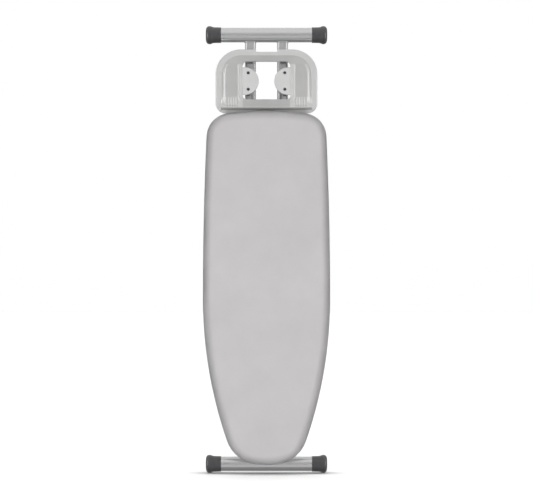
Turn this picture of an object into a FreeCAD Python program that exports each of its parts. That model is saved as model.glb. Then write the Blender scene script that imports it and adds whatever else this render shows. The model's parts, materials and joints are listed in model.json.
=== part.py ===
import FreeCAD, Part
import math
import os
import re
import Sketcher

# Folding ironing board, stored upright: nose down, legs folded flat behind the top.
# +X is to the right, the ironing face looks along -Y, +Z is up. Millimetres.
# The origin lies under the middle of the bounding box, on the floor.
# "depth" is a distance behind the ironing face, measured along +Y.
# Every cut starts 1 mm outside the piece that it cuts.

DIMENSIONS = {
    # outline of the top
    "board_length": 1202,
    "board_width": 432,
    "nose_z": 29,
    "nose_radius": 190,
    "nose_corner_radius": 106,
    "side_radius": 1465,
    "widest_from_nose": 564,
    "heel_side_radius": 12300,
    "heel_corner_radius": 81,
    "heel_radius": 1020,
    # layers of the top, from the ironing face backwards
    "face_y": -43.5,
    "cover_skin": 0.8,
    "pad_thickness": 8,
    "panel_thickness": 0.4,
    "edge_round": 15,
    "pad_wrap": 11,
    "rim_inset": 6,
    "rim_depth": 14.9,
    "rim_wall": 1.4,
    "rim_flange": 13,
    "hem_width": 27,
    "hem_gap": 0.3,
    "bar_depth": 10,
    "bar_width": 25,
    "bar_wall": 1.5,
    "bar_end_gap": 1,
    # linkage: both legs are crossed in the middle of their upper arms
    "leg_y": 12.5,
    "leg_length": 1110,
    "hinge_z": 379,
    "slide_z": 1141,
    # tubes
    "outer_tube_x": 54.7,
    "outer_tube_width": 36.4,
    "inner_tube_width": 40,
    "tube_depth": 22,
    "tube_wall": 1,
    "plug_thickness": 3,
    "tube_end": 15,
    "inner_tube_end": 10,
    "foot_tube_radius": 24.75,
    "foot_tube_wall": 1.2,
    "foot_length": 413,
    "cap_sleeve": 52,
    "cap_sleeve_radius": 26.8,
    "cap_radius": 31,
    "cap_round": 13,
    "cap_wall": 3,
    "cap_fit": 0.05,
    # pivots
    "pin_radius": 5,
    "running_fit": 0.05,
    "bush_wall": 2,
    "pin_head_radius": 9,
    "pin_head": 4,
    "pin_tail": 0.6,
    "hinge_head_radius": 8,
    "bolt_tail": 7,
    "bolt_nut": 6,
    "spacer_gap": 0.3,
    "washer_radius": 11,
    "washer": 1.5,
    "cheek": 2,
    "cheek_inner_x": 31,
    "hinge_gap": 0.6,
    # slide
    "rail_low_z": 844,
    "rail_high_z": 1169,
    "rail_wall": 1.8,
    "rail_web_x": 33.4,
    "rail_lip_x": 24,
    "rail_opening": 17,
    "rail_foot": 11,
    "rail_rivet_x": 41.1,
    "rail_rivet_from_top": 7,
    "block_length": 34,
    "block_play": 0.4,
    "yoke_x": 20.6,
    "yoke_wall": 2,
    "yoke_length": 44,
    "yoke_depth": 37,
    "yoke_cheek": 7,
    "axle_end_gap": 2,
    # toothed bar and height lever
    "rack_width": 12,
    "rack_front_depth": 27,
    "rack_from_slide": 30,
    "rack_length": 336,
    "tooth_pitch": 17,
    "notch_count": 9,
    "notch_width": 11,
    "notch_depth": 5.5,
    "notch_slope": 1,
    "open_notch": 73.7,
    "stored_notch": 345.9,
    "shaft_z": 824,
    "shaft_depth": 19,
    "shaft_radius": 4,
    "shaft_start_x": -32,
    "shaft_end_x": 150,
    "pawl_width": 8,
    "pawl_reach": 30,
    "pawl_tip": 7,
    "pawl_clearance": 0.4,
    "pawl_boss": 6.4,
    "grip_width": 26,
    "grip_length": 118,
    "grip_lean": 27,
    "grip_thickness": 11,
    "grip_bend": 32,
    "grip_boss": 8,
    "grip_round": 3.2,
    "bearing_inner_x": -28,
    "bearing_outer_x": 132,
    "bearing_half": 9,
    "bearing_wall": 3,
    "bearing_foot": 2,
    "bearing_foot_width": 15,
    "spring_x": 100,
    "spring_length": 22,
    "spring_wire": 1.6,
    "spring_gap": 0.3,
    # iron rest
    "rest_width": 345,
    "rest_low_z": 1222,
    "rest_high_z": 1438,
    "rest_top_corner": 85,
    "rest_low_corner": 34,
    "rest_front": 6,
    "rest_rear": 38,
    "rest_notch_width": 73,
    "rest_notch_depth": 8,
    "rest_edge_round": 4,
    "rest_wall": 4,
    "rest_floor_wall": 3,
    "rest_back_corner": 46.75,
    "rest_back_bend_x": 144,
    "rest_back_bend_z": 1409,
    "apron_top_z": 1241,
    "apron_half": 155,
    "apron_rear": 26,
    "apron_gap": 2,
    "recess_depth": 4,
    "recess_x": 153,
    "recess_low_z": 1244,
    "recess_gap": 5,
    "window_half": 81,
    "window_low_z": 1269,
    "window_high_z": 1397,
    "window_corner": 14,
    "bead_width": 9,
    "ridge_x": 143,
    "ridge_width": 8,
    "ridge_low_z": 1277,
    "ridge_high_z": 1379,
    "rib_count": 8,
    "rib_pitch": 6.5,
    "rib_width": 2.4,
    "rib_height": 1.6,
    "rib_low_z": 1243,
    "rib_high_z": 1271,
    "rib_start_x": 96,
    "lug_x": 73,
    "lug_z": 1331,
    "lug_radius": 46.6,
    "lug_front": 13,
    "screw_sink": 6,
    "screw_x": 62,
    "screw_spacing": 56,
    "screw_radius": 2.5,
    "screw_head_radius": 4.8,
    "screw_head": 3,
    "screw_tail": 6,
    "sink_fit": 0.4,
    "nut_radius": 4.6,
    "nut_height": 4,
    "strap_x": 57.6,
    "strap_width": 22,
    "strap_wall": 3,
    "strap_depth": 29,
    "strap_slot_gap": 0.5,
    "strap_high_z": 1394,
    "strap_low_z": 1150,
    "strap_step_z": 1172,
    "strap_step": 7,
    "strap_rivet_z": 1163,
    "rivet_radius": 2.5,
    "rivet_head_radius": 4.5,
    "rivet_head": 1.5,
}

doc = FreeCAD.newDocument("ironing_board")
sheet = doc.addObject("Spreadsheet::Sheet", "Sizes")
nodes = []


def fill_sheet():
    for row, (alias, number) in enumerate(DIMENSIONS.items(), start=1):
        sheet.set("A%d" % row, alias)
        sheet.set("B%d" % row, str(number))
        sheet.setAlias("B%d" % row, alias)
    doc.recompute()


def bound(text):
    """The same formula, reading its sizes from the sheet."""
    text = str(text)
    return re.sub(r"[a-z_]+", lambda m: "Sizes." + m.group() if m.group() in DIMENSIONS else m.group(), text)


def number(text):
    """The value of a formula, for a first position or a choice of edges."""
    result = sheet.evalExpression(bound(text).replace("Sizes.", ""))
    return float(getattr(result, "Value", result))


def drive(thing, name, text):
    thing.setExpression(name, bound(text))


# Sketches


def plain_body(label):
    """A body that another shape is made from."""
    body = doc.addObject("PartDesign::Body", label)
    body.Label = label
    return body


def new_body(label):
    """A body that is one of the part's nodes."""
    return node(plain_body(label), label)


def sketch_on(body, role, name, distance="0"):
    """An empty sketch parallel to an origin plane, at a world coordinate along that plane's axis."""
    plane = [feature for feature in body.Origin.OriginFeatures if feature.Role == role][0]
    sketch = body.newObject("Sketcher::SketchObject", body.Label + "_" + name)
    sketch.AttachmentSupport = [(plane, "")]
    sketch.MapMode = "FlatFace"
    sign = "-1" if role == "XZ_Plane" else "1"
    drive(sketch, "AttachmentOffset.Base.z", "%s*(%s)" % (sign, distance))
    doc.recompute([sketch])
    return sketch


def constrain(sketch, kind, text, *where):
    index = sketch.addConstraint(Sketcher.Constraint(kind, *where, number(text)))
    drive(sketch, "Constraints[%d]" % index, text)


def polygon(sketch, corners):
    """A closed loop of straight lines; each corner is a pair of formulas."""
    points = [FreeCAD.Vector(number(a), number(b), 0) for a, b in corners]
    first = sketch.GeometryCount
    count = len(points)
    for i in range(count):
        sketch.addGeometry(Part.LineSegment(points[i], points[(i + 1) % count]), False)
    for i in range(count):
        after = first + (i + 1) % count
        sketch.addConstraint(Sketcher.Constraint("Coincident", first + i, 2, after, 1))
    for i, (a, b) in enumerate(corners):
        constrain(sketch, "DistanceX", a, -1, 1, first + i, 1)
        constrain(sketch, "DistanceY", b, -1, 1, first + i, 1)


def rectangle(sketch, left, right, low, high):
    polygon(sketch, [(left, low), (right, low), (right, high), (left, high)])


def circle(sketch, x, y, radius):
    shape = Part.Circle(FreeCAD.Vector(number(x), number(y), 0), FreeCAD.Vector(0, 0, 1), number(radius))
    index = sketch.addGeometry(shape, False)
    constrain(sketch, "DistanceX", x, -1, 1, index, 3)
    constrain(sketch, "DistanceY", y, -1, 1, index, 3)
    constrain(sketch, "Radius", radius, index)


def add_arc(sketch, centre, radius, start, end):
    """An arc counter-clockwise from one point to another about a centre."""
    first = math.atan2(start.y - centre.y, start.x - centre.x)
    last = math.atan2(end.y - centre.y, end.x - centre.x)
    if last <= first:
        last += 2 * math.pi
    whole = Part.Circle(centre, FreeCAD.Vector(0, 0, 1), radius)
    return sketch.addGeometry(Part.ArcOfCircle(whole, first, last), False)


def flat_oval(sketch, x, y, width, depth):
    """The section of a flattened tube: two half circles joined by straight sides."""
    reach = "(%s-%s)/2" % (width, depth)
    centres = ["(%s)+%s" % (x, reach), "(%s)-%s" % (x, reach)]
    radius = number(depth) / 2
    right = FreeCAD.Vector(number(centres[0]), number(y), 0)
    left = FreeCAD.Vector(number(centres[1]), number(y), 0)
    up = FreeCAD.Vector(0, radius, 0)
    bow = add_arc(sketch, right, radius, right - up, right + up)
    top = sketch.addGeometry(Part.LineSegment(right + up, left + up), False)
    stern = add_arc(sketch, left, radius, left + up, left - up)
    base = sketch.addGeometry(Part.LineSegment(left - up, right - up), False)
    loop = [bow, top, stern, base]
    for one, after in zip(loop, loop[1:] + loop[:1]):
        sketch.addConstraint(Sketcher.Constraint("Tangent", one, 2, after, 1))
    for index, centre in ((bow, centres[0]), (stern, centres[1])):
        constrain(sketch, "DistanceX", centre, -1, 1, index, 3)
        constrain(sketch, "DistanceY", y, -1, 1, index, 3)
        constrain(sketch, "Radius", "%s/2" % depth, index)


def meeting_centre(one, reach_one, other, reach_other, side):
    """The point at two given distances from two centres, on the chosen side of the line between them."""
    along = other - one
    span = along.Length
    run = (reach_one ** 2 - reach_other ** 2 + span ** 2) / (2 * span)
    rise = math.sqrt(reach_one ** 2 - run ** 2)
    unit = along.normalize()
    across = FreeCAD.Vector(-unit.y, unit.x, 0)
    return one + unit * run + across * rise * side


def side_centre(radius):
    """Centre of an arc of the right side; it touches the widest point."""
    return FreeCAD.Vector(number("board_width/2-" + radius), number("nose_z+widest_from_nose"), 0)


def nose_corner_centre():
    nose = FreeCAD.Vector(0, number("nose_z+nose_radius"), 0)
    return meeting_centre(nose, number("nose_radius-nose_corner_radius"), side_centre("side_radius"),
                          number("side_radius-nose_corner_radius"), 1)


def heel_corner_centre():
    heel = FreeCAD.Vector(0, number("nose_z+board_length-heel_radius"), 0)
    return meeting_centre(heel, number("heel_radius-heel_corner_radius"), side_centre("heel_side_radius"),
                          number("heel_side_radius-heel_corner_radius"), -1)


def board_outline(sketch, inset):
    """The outline of the top, made smaller all round by the inset: ten arcs, each tangent to the next."""
    radii = ["nose_radius", "nose_corner_radius", "side_radius", "heel_side_radius", "heel_corner_radius",
             "heel_radius"]
    radii = ["%s-(%s)" % (radius, inset) for radius in radii]
    widest_z = "nose_z+widest_from_nose"
    nose = FreeCAD.Vector(0, number("nose_z+nose_radius"), 0)
    side = side_centre("side_radius")
    upper = side_centre("heel_side_radius")
    heel = FreeCAD.Vector(0, number("nose_z+board_length-heel_radius"), 0)
    nose_corner = nose_corner_centre()
    heel_corner = heel_corner_centre()
    right = [nose, nose_corner, side, upper, heel_corner, heel]
    sizes = [number(radius) for radius in radii]

    def touch(big, small, radius):
        return big + (small - big).normalize() * radius

    joints = [
        touch(nose, nose_corner, sizes[0]),
        touch(side, nose_corner, sizes[2]),
        FreeCAD.Vector(number("board_width/2") - number(inset), number(widest_z), 0),
        touch(upper, heel_corner, sizes[3]),
        touch(heel, heel_corner, sizes[5]),
    ]

    def mirror(point):
        return FreeCAD.Vector(-point.x, point.y, 0)

    centres = right + [mirror(point) for point in right[4:0:-1]]
    radius_of = radii + radii[4:0:-1]
    starts = [mirror(joints[0])] + joints + [mirror(point) for point in joints[:0:-1]]
    ends = starts[1:] + starts[:1]
    arcs = []
    for centre, radius, start, end in zip(centres, radius_of, starts, ends):
        arcs.append(add_arc(sketch, centre, number(radius), start, end))
    for one, after in zip(arcs, arcs[1:] + arcs[:1]):
        sketch.addConstraint(Sketcher.Constraint("Tangent", one, 2, after, 1))
    for index, radius in zip(arcs, radius_of):
        constrain(sketch, "Radius", radius, index)
    for index, height in ((arcs[0], "nose_z+nose_radius"), (arcs[5], "nose_z+board_length-heel_radius")):
        sketch.addConstraint(Sketcher.Constraint("PointOnObject", index, 3, -2))
        constrain(sketch, "DistanceY", height, -1, 1, index, 3)
    for index, sign in ((arcs[2], 1), (arcs[8], -1)):
        constrain(sketch, "DistanceX", "%d*(board_width/2-side_radius)" % sign, -1, 1, index, 3)
    for index in (arcs[2], arcs[3], arcs[7], arcs[8]):
        constrain(sketch, "DistanceY", widest_z, -1, 1, index, 3)


# Features


def pad(body, sketch, length, name="pad"):
    """Material from the sketch towards the plane's own side: +Z, +X or, on the XZ plane, -Y."""
    feature = body.newObject("PartDesign::Pad", body.Label + "_" + name)
    feature.Profile = sketch
    drive(feature, "Length", length)
    body.Tip = feature
    return feature


def pocket(body, sketch, length, name, reverse=True):
    """A cut from the sketch towards the same side as a pad; it must take material away."""
    doc.recompute()
    before = body.Shape.Volume
    feature = body.newObject("PartDesign::Pocket", body.Label + "_" + name)
    feature.Profile = sketch
    drive(feature, "Length", length)
    feature.Reversed = reverse
    body.Tip = feature
    doc.recompute()
    if body.Shape.Volume > before - 0.01:
        raise ValueError(body.Label + " " + name + " cuts nothing")
    return feature


def edges_where(body, test):
    """Names of the body's edges whose middle point and direction pass a test."""
    doc.recompute()
    names = []
    for i, edge in enumerate(body.Tip.Shape.Edges, start=1):
        middle = edge.valueAt((edge.FirstParameter + edge.LastParameter) / 2)
        direction = edge.tangentAt(edge.FirstParameter)
        if test(middle, direction):
            names.append("Edge%d" % i)
    if not names:
        raise ValueError(body.Label + " has no such edge")
    return names


def fillet(body, radius, name, test):
    names = edges_where(body, test)
    base = body.Tip
    feature = body.newObject("PartDesign::Fillet", body.Label + "_" + name)
    feature.Base = (base, names)
    drive(feature, "Radius", radius)
    body.Tip = feature
    doc.recompute()
    return feature


def bore_along_x(body, y, z, radius, name):
    """A round hole right through the piece, along X."""
    sketch = sketch_on(body, "YZ_Plane", name + "_sketch", "-board_width")
    circle(sketch, y, z, radius)
    pocket(body, sketch, "board_width*2", name)


def turned(axis, degrees):
    """A placement at the origin, turned about an axis."""
    return FreeCAD.Placement(FreeCAD.Vector(), FreeCAD.Rotation(FreeCAD.Vector(*axis), degrees))


def cylinder_x(name, x, length, y, z, radius):
    """A plain cylinder along X, from its left end."""
    shape = doc.addObject("Part::Cylinder", name)
    shape.Placement = turned((0, 1, 0), 90)
    for axis, text in zip("xyz", (x, y, z)):
        drive(shape, "Placement.Base." + axis, text)
    drive(shape, "Radius", radius)
    drive(shape, "Height", length)
    return shape


def cylinder_y(name, x, y, length, z, radius):
    """A plain cylinder along Y, from its front end."""
    shape = doc.addObject("Part::Cylinder", name)
    shape.Placement = turned((1, 0, 0), -90)
    for axis, text in zip("xyz", (x, y, z)):
        drive(shape, "Placement.Base." + axis, text)
    drive(shape, "Radius", radius)
    drive(shape, "Height", length)
    return shape


def box(name, x, y, z, width, depth, height):
    shape = doc.addObject("Part::Box", name)
    for axis, text in zip("xyz", (x, y, z)):
        drive(shape, "Placement.Base." + axis, text)
    drive(shape, "Length", width)
    drive(shape, "Width", depth)
    drive(shape, "Height", height)
    return shape


def node(shape, label):
    shape.Label = label
    nodes.append(shape)
    return shape


def fused(label, shapes):
    if len(shapes) == 1:
        return node(shapes[0], label)
    union = doc.addObject("Part::MultiFuse", label + "_union")
    union.Shapes = shapes
    return node(union, label)


def group(label, shapes):
    """Identical separate pieces kept in one node."""
    together = doc.addObject("Part::Compound", label + "_group")
    together.Links = shapes
    return node(together, label)


def cut(label, base, tool):
    result = doc.addObject("Part::Cut", label + "_cut")
    result.Base = base
    result.Tool = tool
    return node(result, label)


# The top


def rounded_slab(body, name, inset, front_y, depth, radius):
    """The top's outline at this inset, padded back from front_y, with its front edge rounded over."""
    outline = sketch_on(body, "XZ_Plane", name, "%s+%s" % (front_y, depth))
    board_outline(outline, inset)
    pad(body, outline, depth)
    edge_y = number(front_y)
    fillet(body, radius, name + "_round", lambda p, way: abs(p.y - edge_y) < 0.01)


def make_cover():
    """Cover: a skin over the face and the round edge, with a hem turned in behind the rim."""
    inner_depth = "pad_thickness+panel_thickness+rim_depth+hem_gap"
    depth = inner_depth + "+2*cover_skin"
    whole = plain_body("cover_whole")
    rounded_slab(whole, "outline", "0", "face_y", depth, "edge_round")
    opening = sketch_on(whole, "XZ_Plane", "hem_edge", "face_y+" + depth)
    board_outline(opening, "hem_width")
    pocket(whole, opening, "cover_skin", "hem_opening")
    inside = plain_body("cover_inside")
    rounded_slab(inside, "inner_outline", "cover_skin", "face_y+cover_skin", inner_depth,
                 "edge_round-cover_skin")
    cut("cover", whole, inside)


def make_foam_pad():
    """Felt pad over the panel, wrapped round the front and the outside of the rim."""
    body = new_body("foam_pad")
    depth = "pad_thickness+pad_wrap"
    rounded_slab(body, "outline", "cover_skin+0.1", "face_y+cover_skin", depth, "edge_round-cover_skin-0.1")
    middle = sketch_on(body, "XZ_Plane", "panel_room", "face_y+cover_skin+" + depth)
    board_outline(middle, "rim_inset")
    pocket(body, middle, "pad_wrap", "panel_room_cut")


def make_top_panel():
    """Expanded-metal top, drawn as the plain sheet it is cut from."""
    body = new_body("top_panel")
    sketch = sketch_on(body, "XZ_Plane", "outline", "face_y+cover_skin+pad_thickness+panel_thickness")
    board_outline(sketch, "rim_inset")
    pad(body, sketch, "panel_thickness")


RIM_FRONT = "face_y+cover_skin+pad_thickness+panel_thickness"


def make_rim_frame():
    """Rim: an angle section bent all round the panel, its flange against the panel."""
    body = new_body("rim_frame")
    outside = sketch_on(body, "XZ_Plane", "outline", RIM_FRONT + "+rim_depth")
    board_outline(outside, "rim_inset")
    pad(body, outside, "rim_depth")
    inside = sketch_on(body, "XZ_Plane", "web", RIM_FRONT + "+rim_depth")
    board_outline(inside, "rim_inset+rim_wall")
    pocket(body, inside, "rim_depth-rim_wall", "channel")
    middle = sketch_on(body, "XZ_Plane", "flange", RIM_FRONT + "+rim_wall")
    board_outline(middle, "rim_inset+rim_flange")
    pocket(body, middle, "rim_wall", "middle")


def half_width_inside_rim(z_text):
    """Half the clear width inside the rim flange at a height, on whichever arc of the side is there."""
    z = number(z_text)
    heel_corner = heel_corner_centre()
    if z > heel_corner.y:
        radius, centre = number("heel_corner_radius"), heel_corner
    elif z > number("nose_z+widest_from_nose"):
        radius, centre = number("heel_side_radius"), side_centre("heel_side_radius")
    else:
        radius, centre = number("side_radius"), side_centre("side_radius")
    radius -= number("rim_inset+rim_flange")
    return centre.x + math.sqrt(radius ** 2 - (z - centre.y) ** 2)


def make_cross_bar(label, low_z):
    """Channel bar across the top, open at the back, between the rim's two sides."""
    body = new_body(label)
    high_z = "%s+bar_width" % low_z
    clear = min(half_width_inside_rim(low_z), half_width_inside_rim(high_z))
    half = math.floor(clear - number("bar_end_gap"))
    sketch = sketch_on(body, "YZ_Plane", "section", "-%d" % half)
    front = RIM_FRONT
    inner_front = RIM_FRONT + "+bar_wall"
    rear = RIM_FRONT + "+bar_depth"
    polygon(sketch, [
        (front, low_z), (rear, low_z), (rear, low_z + "+bar_wall"), (inner_front, low_z + "+bar_wall"),
        (inner_front, high_z + "-bar_wall"), (rear, high_z + "-bar_wall"), (rear, high_z), (front, high_z),
    ])
    pad(body, sketch, "%d" % (2 * half))


BAR_REAR = RIM_FRONT + "+bar_depth"


def make_slide_rail(label, side):
    """Slide rail: a channel facing the middle, carried by a web that stands on the cross bars."""
    body = new_body(label)
    sketch = sketch_on(body, "XY_Plane", "section", "rail_low_z")
    web_in, web_out = "rail_web_x", "rail_web_x+rail_wall"
    low, high = "leg_y-rail_opening/2", "leg_y+rail_opening/2"
    corners = [
        (web_in, BAR_REAR), ("rail_web_x+rail_wall+rail_foot", BAR_REAR),
        ("rail_web_x+rail_wall+rail_foot", BAR_REAR + "+rail_wall"), (web_out, BAR_REAR + "+rail_wall"),
        (web_out, high + "+rail_wall"), ("rail_lip_x", high + "+rail_wall"), ("rail_lip_x", high),
        (web_in, high), (web_in, low), ("rail_lip_x", low), ("rail_lip_x", low + "-rail_wall"),
        (web_in, low + "-rail_wall"),
    ]
    polygon(sketch, [("%d*(%s)" % (side, x), y) for x, y in corners])
    pad(body, sketch, "rail_high_z-rail_low_z")


def make_hinge_bracket(label, side):
    """Clevis on the first cross bar that holds one hinge pin on both sides of its leg tube."""
    body = new_body(label)
    inner = "cheek_inner_x"
    outer = "outer_tube_x+outer_tube_width/2+hinge_gap+cheek"
    base = sketch_on(body, "XY_Plane", "section", "hinge_z-bar_width/2")
    rear = "leg_y+pin_head_radius"
    polygon(base, [("%d*(%s)" % (side, x), y) for x, y in [
        (inner, BAR_REAR), (outer, BAR_REAR), (outer, rear), (outer + "-cheek", rear),
        (outer + "-cheek", BAR_REAR + "+cheek"), (inner + "+cheek", BAR_REAR + "+cheek"),
        (inner + "+cheek", rear), (inner, rear),
    ]])
    pad(body, base, "bar_width")
    rear_y = number(rear)
    fillet(body, "hinge_head_radius", "ears", lambda p, way: abs(way.x) > 0.9 and p.y > rear_y - 0.1)
    bore_along_x(body, "leg_y", "hinge_z", "pin_radius", "bore")


def make_hinge_pin(label, side):
    """Headed pin through the clevis; its head is on the outside."""
    inner = "cheek_inner_x"
    outer = "(outer_tube_x+outer_tube_width/2+hinge_gap+cheek)"
    left = inner + "-pin_tail" if side > 0 else "-" + outer
    shank = cylinder_x(label + "_shank", left, outer + "-cheek_inner_x+pin_tail", "leg_y", "hinge_z",
                       "pin_radius")
    head_x = outer if side > 0 else "-%s-pin_head" % outer
    head = cylinder_x(label + "_head", head_x, "pin_head", "leg_y", "hinge_z", "hinge_head_radius")
    fused(label, [shank, head])


# Iron rest


def make_iron_rest():
    body = new_body("iron_rest")
    half = "rest_width/2"
    notch = "rest_notch_width/2"
    outline = sketch_on(body, "XZ_Plane", "outline", "face_y+rest_rear")
    polygon(outline, [
        ("-rest_width/2", "rest_low_z"), (half, "rest_low_z"), (half, "rest_high_z"), (notch, "rest_high_z"),
        (notch, "rest_high_z-rest_notch_depth"), ("-rest_notch_width/2", "rest_high_z-rest_notch_depth"),
        ("-rest_notch_width/2", "rest_high_z"), ("-rest_width/2", "rest_high_z"),
    ])
    pad(body, outline, "rest_rear-rest_front")
    side_x = number(half) - 1
    middle_z = number("(rest_low_z+rest_high_z)/2")
    fillet(body, "rest_top_corner", "top_corners",
           lambda p, way: abs(way.y) > 0.9 and abs(p.x) > side_x and p.z > middle_z)
    fillet(body, "rest_low_corner", "low_corners",
           lambda p, way: abs(way.y) > 0.9 and abs(p.x) > side_x and p.z < middle_z)
    slope_apron(body)
    front_y, apron_z = number("face_y+rest_front"), number("apron_top_z")
    fillet(body, "rest_edge_round", "front_edge",
           lambda p, way: abs(p.y - front_y) < 0.01 and p.z > apron_z + 0.5)
    hollow_rest_from_behind(body)
    slot_for_straps(body)
    sink_wings(body)
    open_window(body)
    add_ridges_and_ribs(body)
    add_lugs(body)


def slope_apron(body):
    """The lower edge slopes back, so that it passes behind the heel of the top."""
    sketch = sketch_on(body, "YZ_Plane", "apron", "-apron_half")
    front, rear = "face_y+rest_front", "face_y+apron_rear"
    polygon(sketch, [
        (front + "-1", "rest_low_z-1"), (rear, "rest_low_z-1"), (rear, "nose_z+board_length+apron_gap"),
        (front + "-1", "apron_top_z"),
    ])
    pocket(body, sketch, "apron_half*2", "apron_cut")


def hollow_rest_from_behind(body):
    """The moulding is a shell: the back is hollow between the outer wall and the window's wall."""
    sketch = sketch_on(body, "XZ_Plane", "back", "face_y+rest_rear")
    edge = "rest_width/2-rest_wall"
    low = "apron_top_z+rest_wall"
    high = "rest_high_z-rest_notch_depth-rest_wall"
    turn = "rest_high_z-rest_top_corner"
    corner = "rest_back_corner"
    polygon(sketch, [
        ("-(%s)" % edge, low), (edge, low), (edge, turn), ("rest_back_bend_x", "rest_back_bend_z"),
        ("%s-%s" % (edge, corner), high), ("-(%s-%s)" % (edge, corner), high),
        ("-rest_back_bend_x", "rest_back_bend_z"), ("-(%s)" % edge, turn),
    ])
    rectangle(sketch, "-window_half-bead_width", "window_half+bead_width", "window_low_z-bead_width",
              "window_high_z+bead_width")
    pocket(body, sketch, "rest_rear-rest_front-recess_depth-rest_floor_wall", "back_hollow")


def slot_for_straps(body):
    """Two slots in the rear of the lower wall, where the steel straps lie against the moulding."""
    sketch = sketch_on(body, "XZ_Plane", "slots", "face_y+rest_rear")
    half = "(strap_width/2+strap_slot_gap)"
    for side in (-1, 1):
        middle = "%d*strap_x" % side
        rectangle(sketch, middle + "-" + half, middle + "+" + half, "rest_low_z-1", "window_low_z+1")
    pocket(body, sketch, "rest_rear-strap_depth", "strap_slots")


def sink_wings(body):
    """A shallow recess on each side of the window, inside the flat rim."""
    front = "face_y+rest_front+recess_depth"
    for name, side in (("left", -1), ("right", 1)):
        sketch = sketch_on(body, "XZ_Plane", name + "_recess", front)
        inner, outer, top = "window_half+bead_width+recess_gap", "recess_x", "window_high_z"
        polygon(sketch, [("%d*(%s)" % (side, x), z) for x, z in [
            (inner, "recess_low_z"), (outer, "recess_low_z"), (outer, "ridge_high_z-12"),
            (outer + "-7", "ridge_high_z+2"), (outer + "-20", "window_high_z-2"), (inner, top),
        ]])
        pocket(body, sketch, "recess_depth+1", name + "_recess_cut")


def open_window(body):
    sketch = sketch_on(body, "XZ_Plane", "window", "face_y+rest_rear+1")
    rectangle(sketch, "-window_half", "window_half", "window_low_z", "window_high_z")
    pocket(body, sketch, "rest_rear-rest_front+2", "window_cut")
    half, low, high = number("window_half"), number("window_low_z"), number("window_high_z")

    def at_corner(p, way):
        return abs(way.y) > 0.9 and abs(abs(p.x) - half) < 0.1 and min(abs(p.z - low), abs(p.z - high)) < 0.1

    fillet(body, "window_corner", "window_corners", at_corner)


def add_ridges_and_ribs(body):
    floor = "face_y+rest_front+recess_depth"
    for name, side in (("left", -1), ("right", 1)):
        ridge = sketch_on(body, "XZ_Plane", name + "_ridge", floor)
        inner, outer = "ridge_x-ridge_width/2", "ridge_x+ridge_width/2"
        polygon(ridge, [("%d*(%s)" % (side, x), z) for x, z in [
            (inner, "ridge_low_z"), (outer, "ridge_low_z"), (outer, "ridge_high_z-14"),
            (inner + "-3", "ridge_high_z"), (inner + "-8", "ridge_high_z-3"), (inner, "ridge_high_z-18"),
        ]])
        pad(body, ridge, "recess_depth+0.5", name + "_ridge_pad")
        for i in range(int(number("rib_count"))):
            rib = sketch_on(body, "XZ_Plane", "%s_rib_%d" % (name, i + 1), floor)
            inner = "rib_start_x+%d*rib_pitch-rib_width/2" % i
            polygon(rib, [("%d*(%s)" % (side, x), z) for x, z in [
                (inner, "rib_low_z"), (inner + "+rib_width", "rib_low_z"),
                (inner + "+rib_width", "rib_high_z"), (inner, "rib_high_z"),
            ]])
            pad(body, rib, "rib_height", "%s_rib_pad_%d" % (name, i + 1))


def add_lugs(body):
    """Round lugs that reach in from the window's sides, each with two counterbored screw holes."""
    for name, side in (("left", -1), ("right", 1)):
        lug = sketch_on(body, "XZ_Plane", name + "_lug", "face_y+strap_depth")
        circle(lug, "%d*lug_x" % side, "lug_z", "lug_radius")
        pad(body, lug, "strap_depth-lug_front", name + "_lug_pad")
        for end, turn in (("upper", 1), ("lower", -1)):
            x = "%d*screw_x" % side
            z = "lug_z+%d*screw_spacing/2" % turn
            head = sketch_on(body, "XZ_Plane", "%s_%s_head" % (name, end), "face_y+lug_front+screw_sink")
            circle(head, x, z, "screw_head_radius+sink_fit")
            pocket(body, head, "screw_sink+2", "%s_%s_counterbore" % (name, end))
            shank = sketch_on(body, "XZ_Plane", "%s_%s_shank" % (name, end), "face_y+strap_depth+1")
            circle(shank, x, z, "screw_radius")
            pocket(body, shank, "strap_depth-lug_front", "%s_%s_hole" % (name, end))


def make_rest_bracket(label, side):
    """Steel strap from the heel cross bar, stepped back behind the hem, up to the lug."""
    body = new_body(label)
    sketch = sketch_on(body, "YZ_Plane", "section", "%d*strap_x-strap_width/2" % side)
    front, rear = "face_y+strap_depth", "face_y+strap_depth+strap_wall"
    step_low, step_high = "strap_step_z", "strap_step_z+strap_step"
    polygon(sketch, [
        (BAR_REAR, "strap_low_z"), (BAR_REAR + "+strap_wall", "strap_low_z"),
        (BAR_REAR + "+strap_wall", step_low), (rear, step_high), (rear, "strap_high_z"),
        (front, "strap_high_z"), (front, step_high + "+1"), (BAR_REAR, step_low + "+1"),
    ])
    pad(body, sketch, "strap_width")
    for end, turn in (("upper", 1), ("lower", -1)):
        hole = sketch_on(body, "XZ_Plane", end + "_hole", rear + "+1")
        circle(hole, "%d*screw_x" % side, "lug_z+%d*screw_spacing/2" % turn, "screw_radius")
        pocket(body, hole, "strap_wall+2", end + "_screw_hole")
    rivet = sketch_on(body, "XZ_Plane", "rivet_hole", BAR_REAR + "+strap_wall+1")
    circle(rivet, "%d*strap_x" % side, "strap_rivet_z", "rivet_radius")
    pocket(body, rivet, "strap_wall+2", "rivet_hole_cut")


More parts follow.
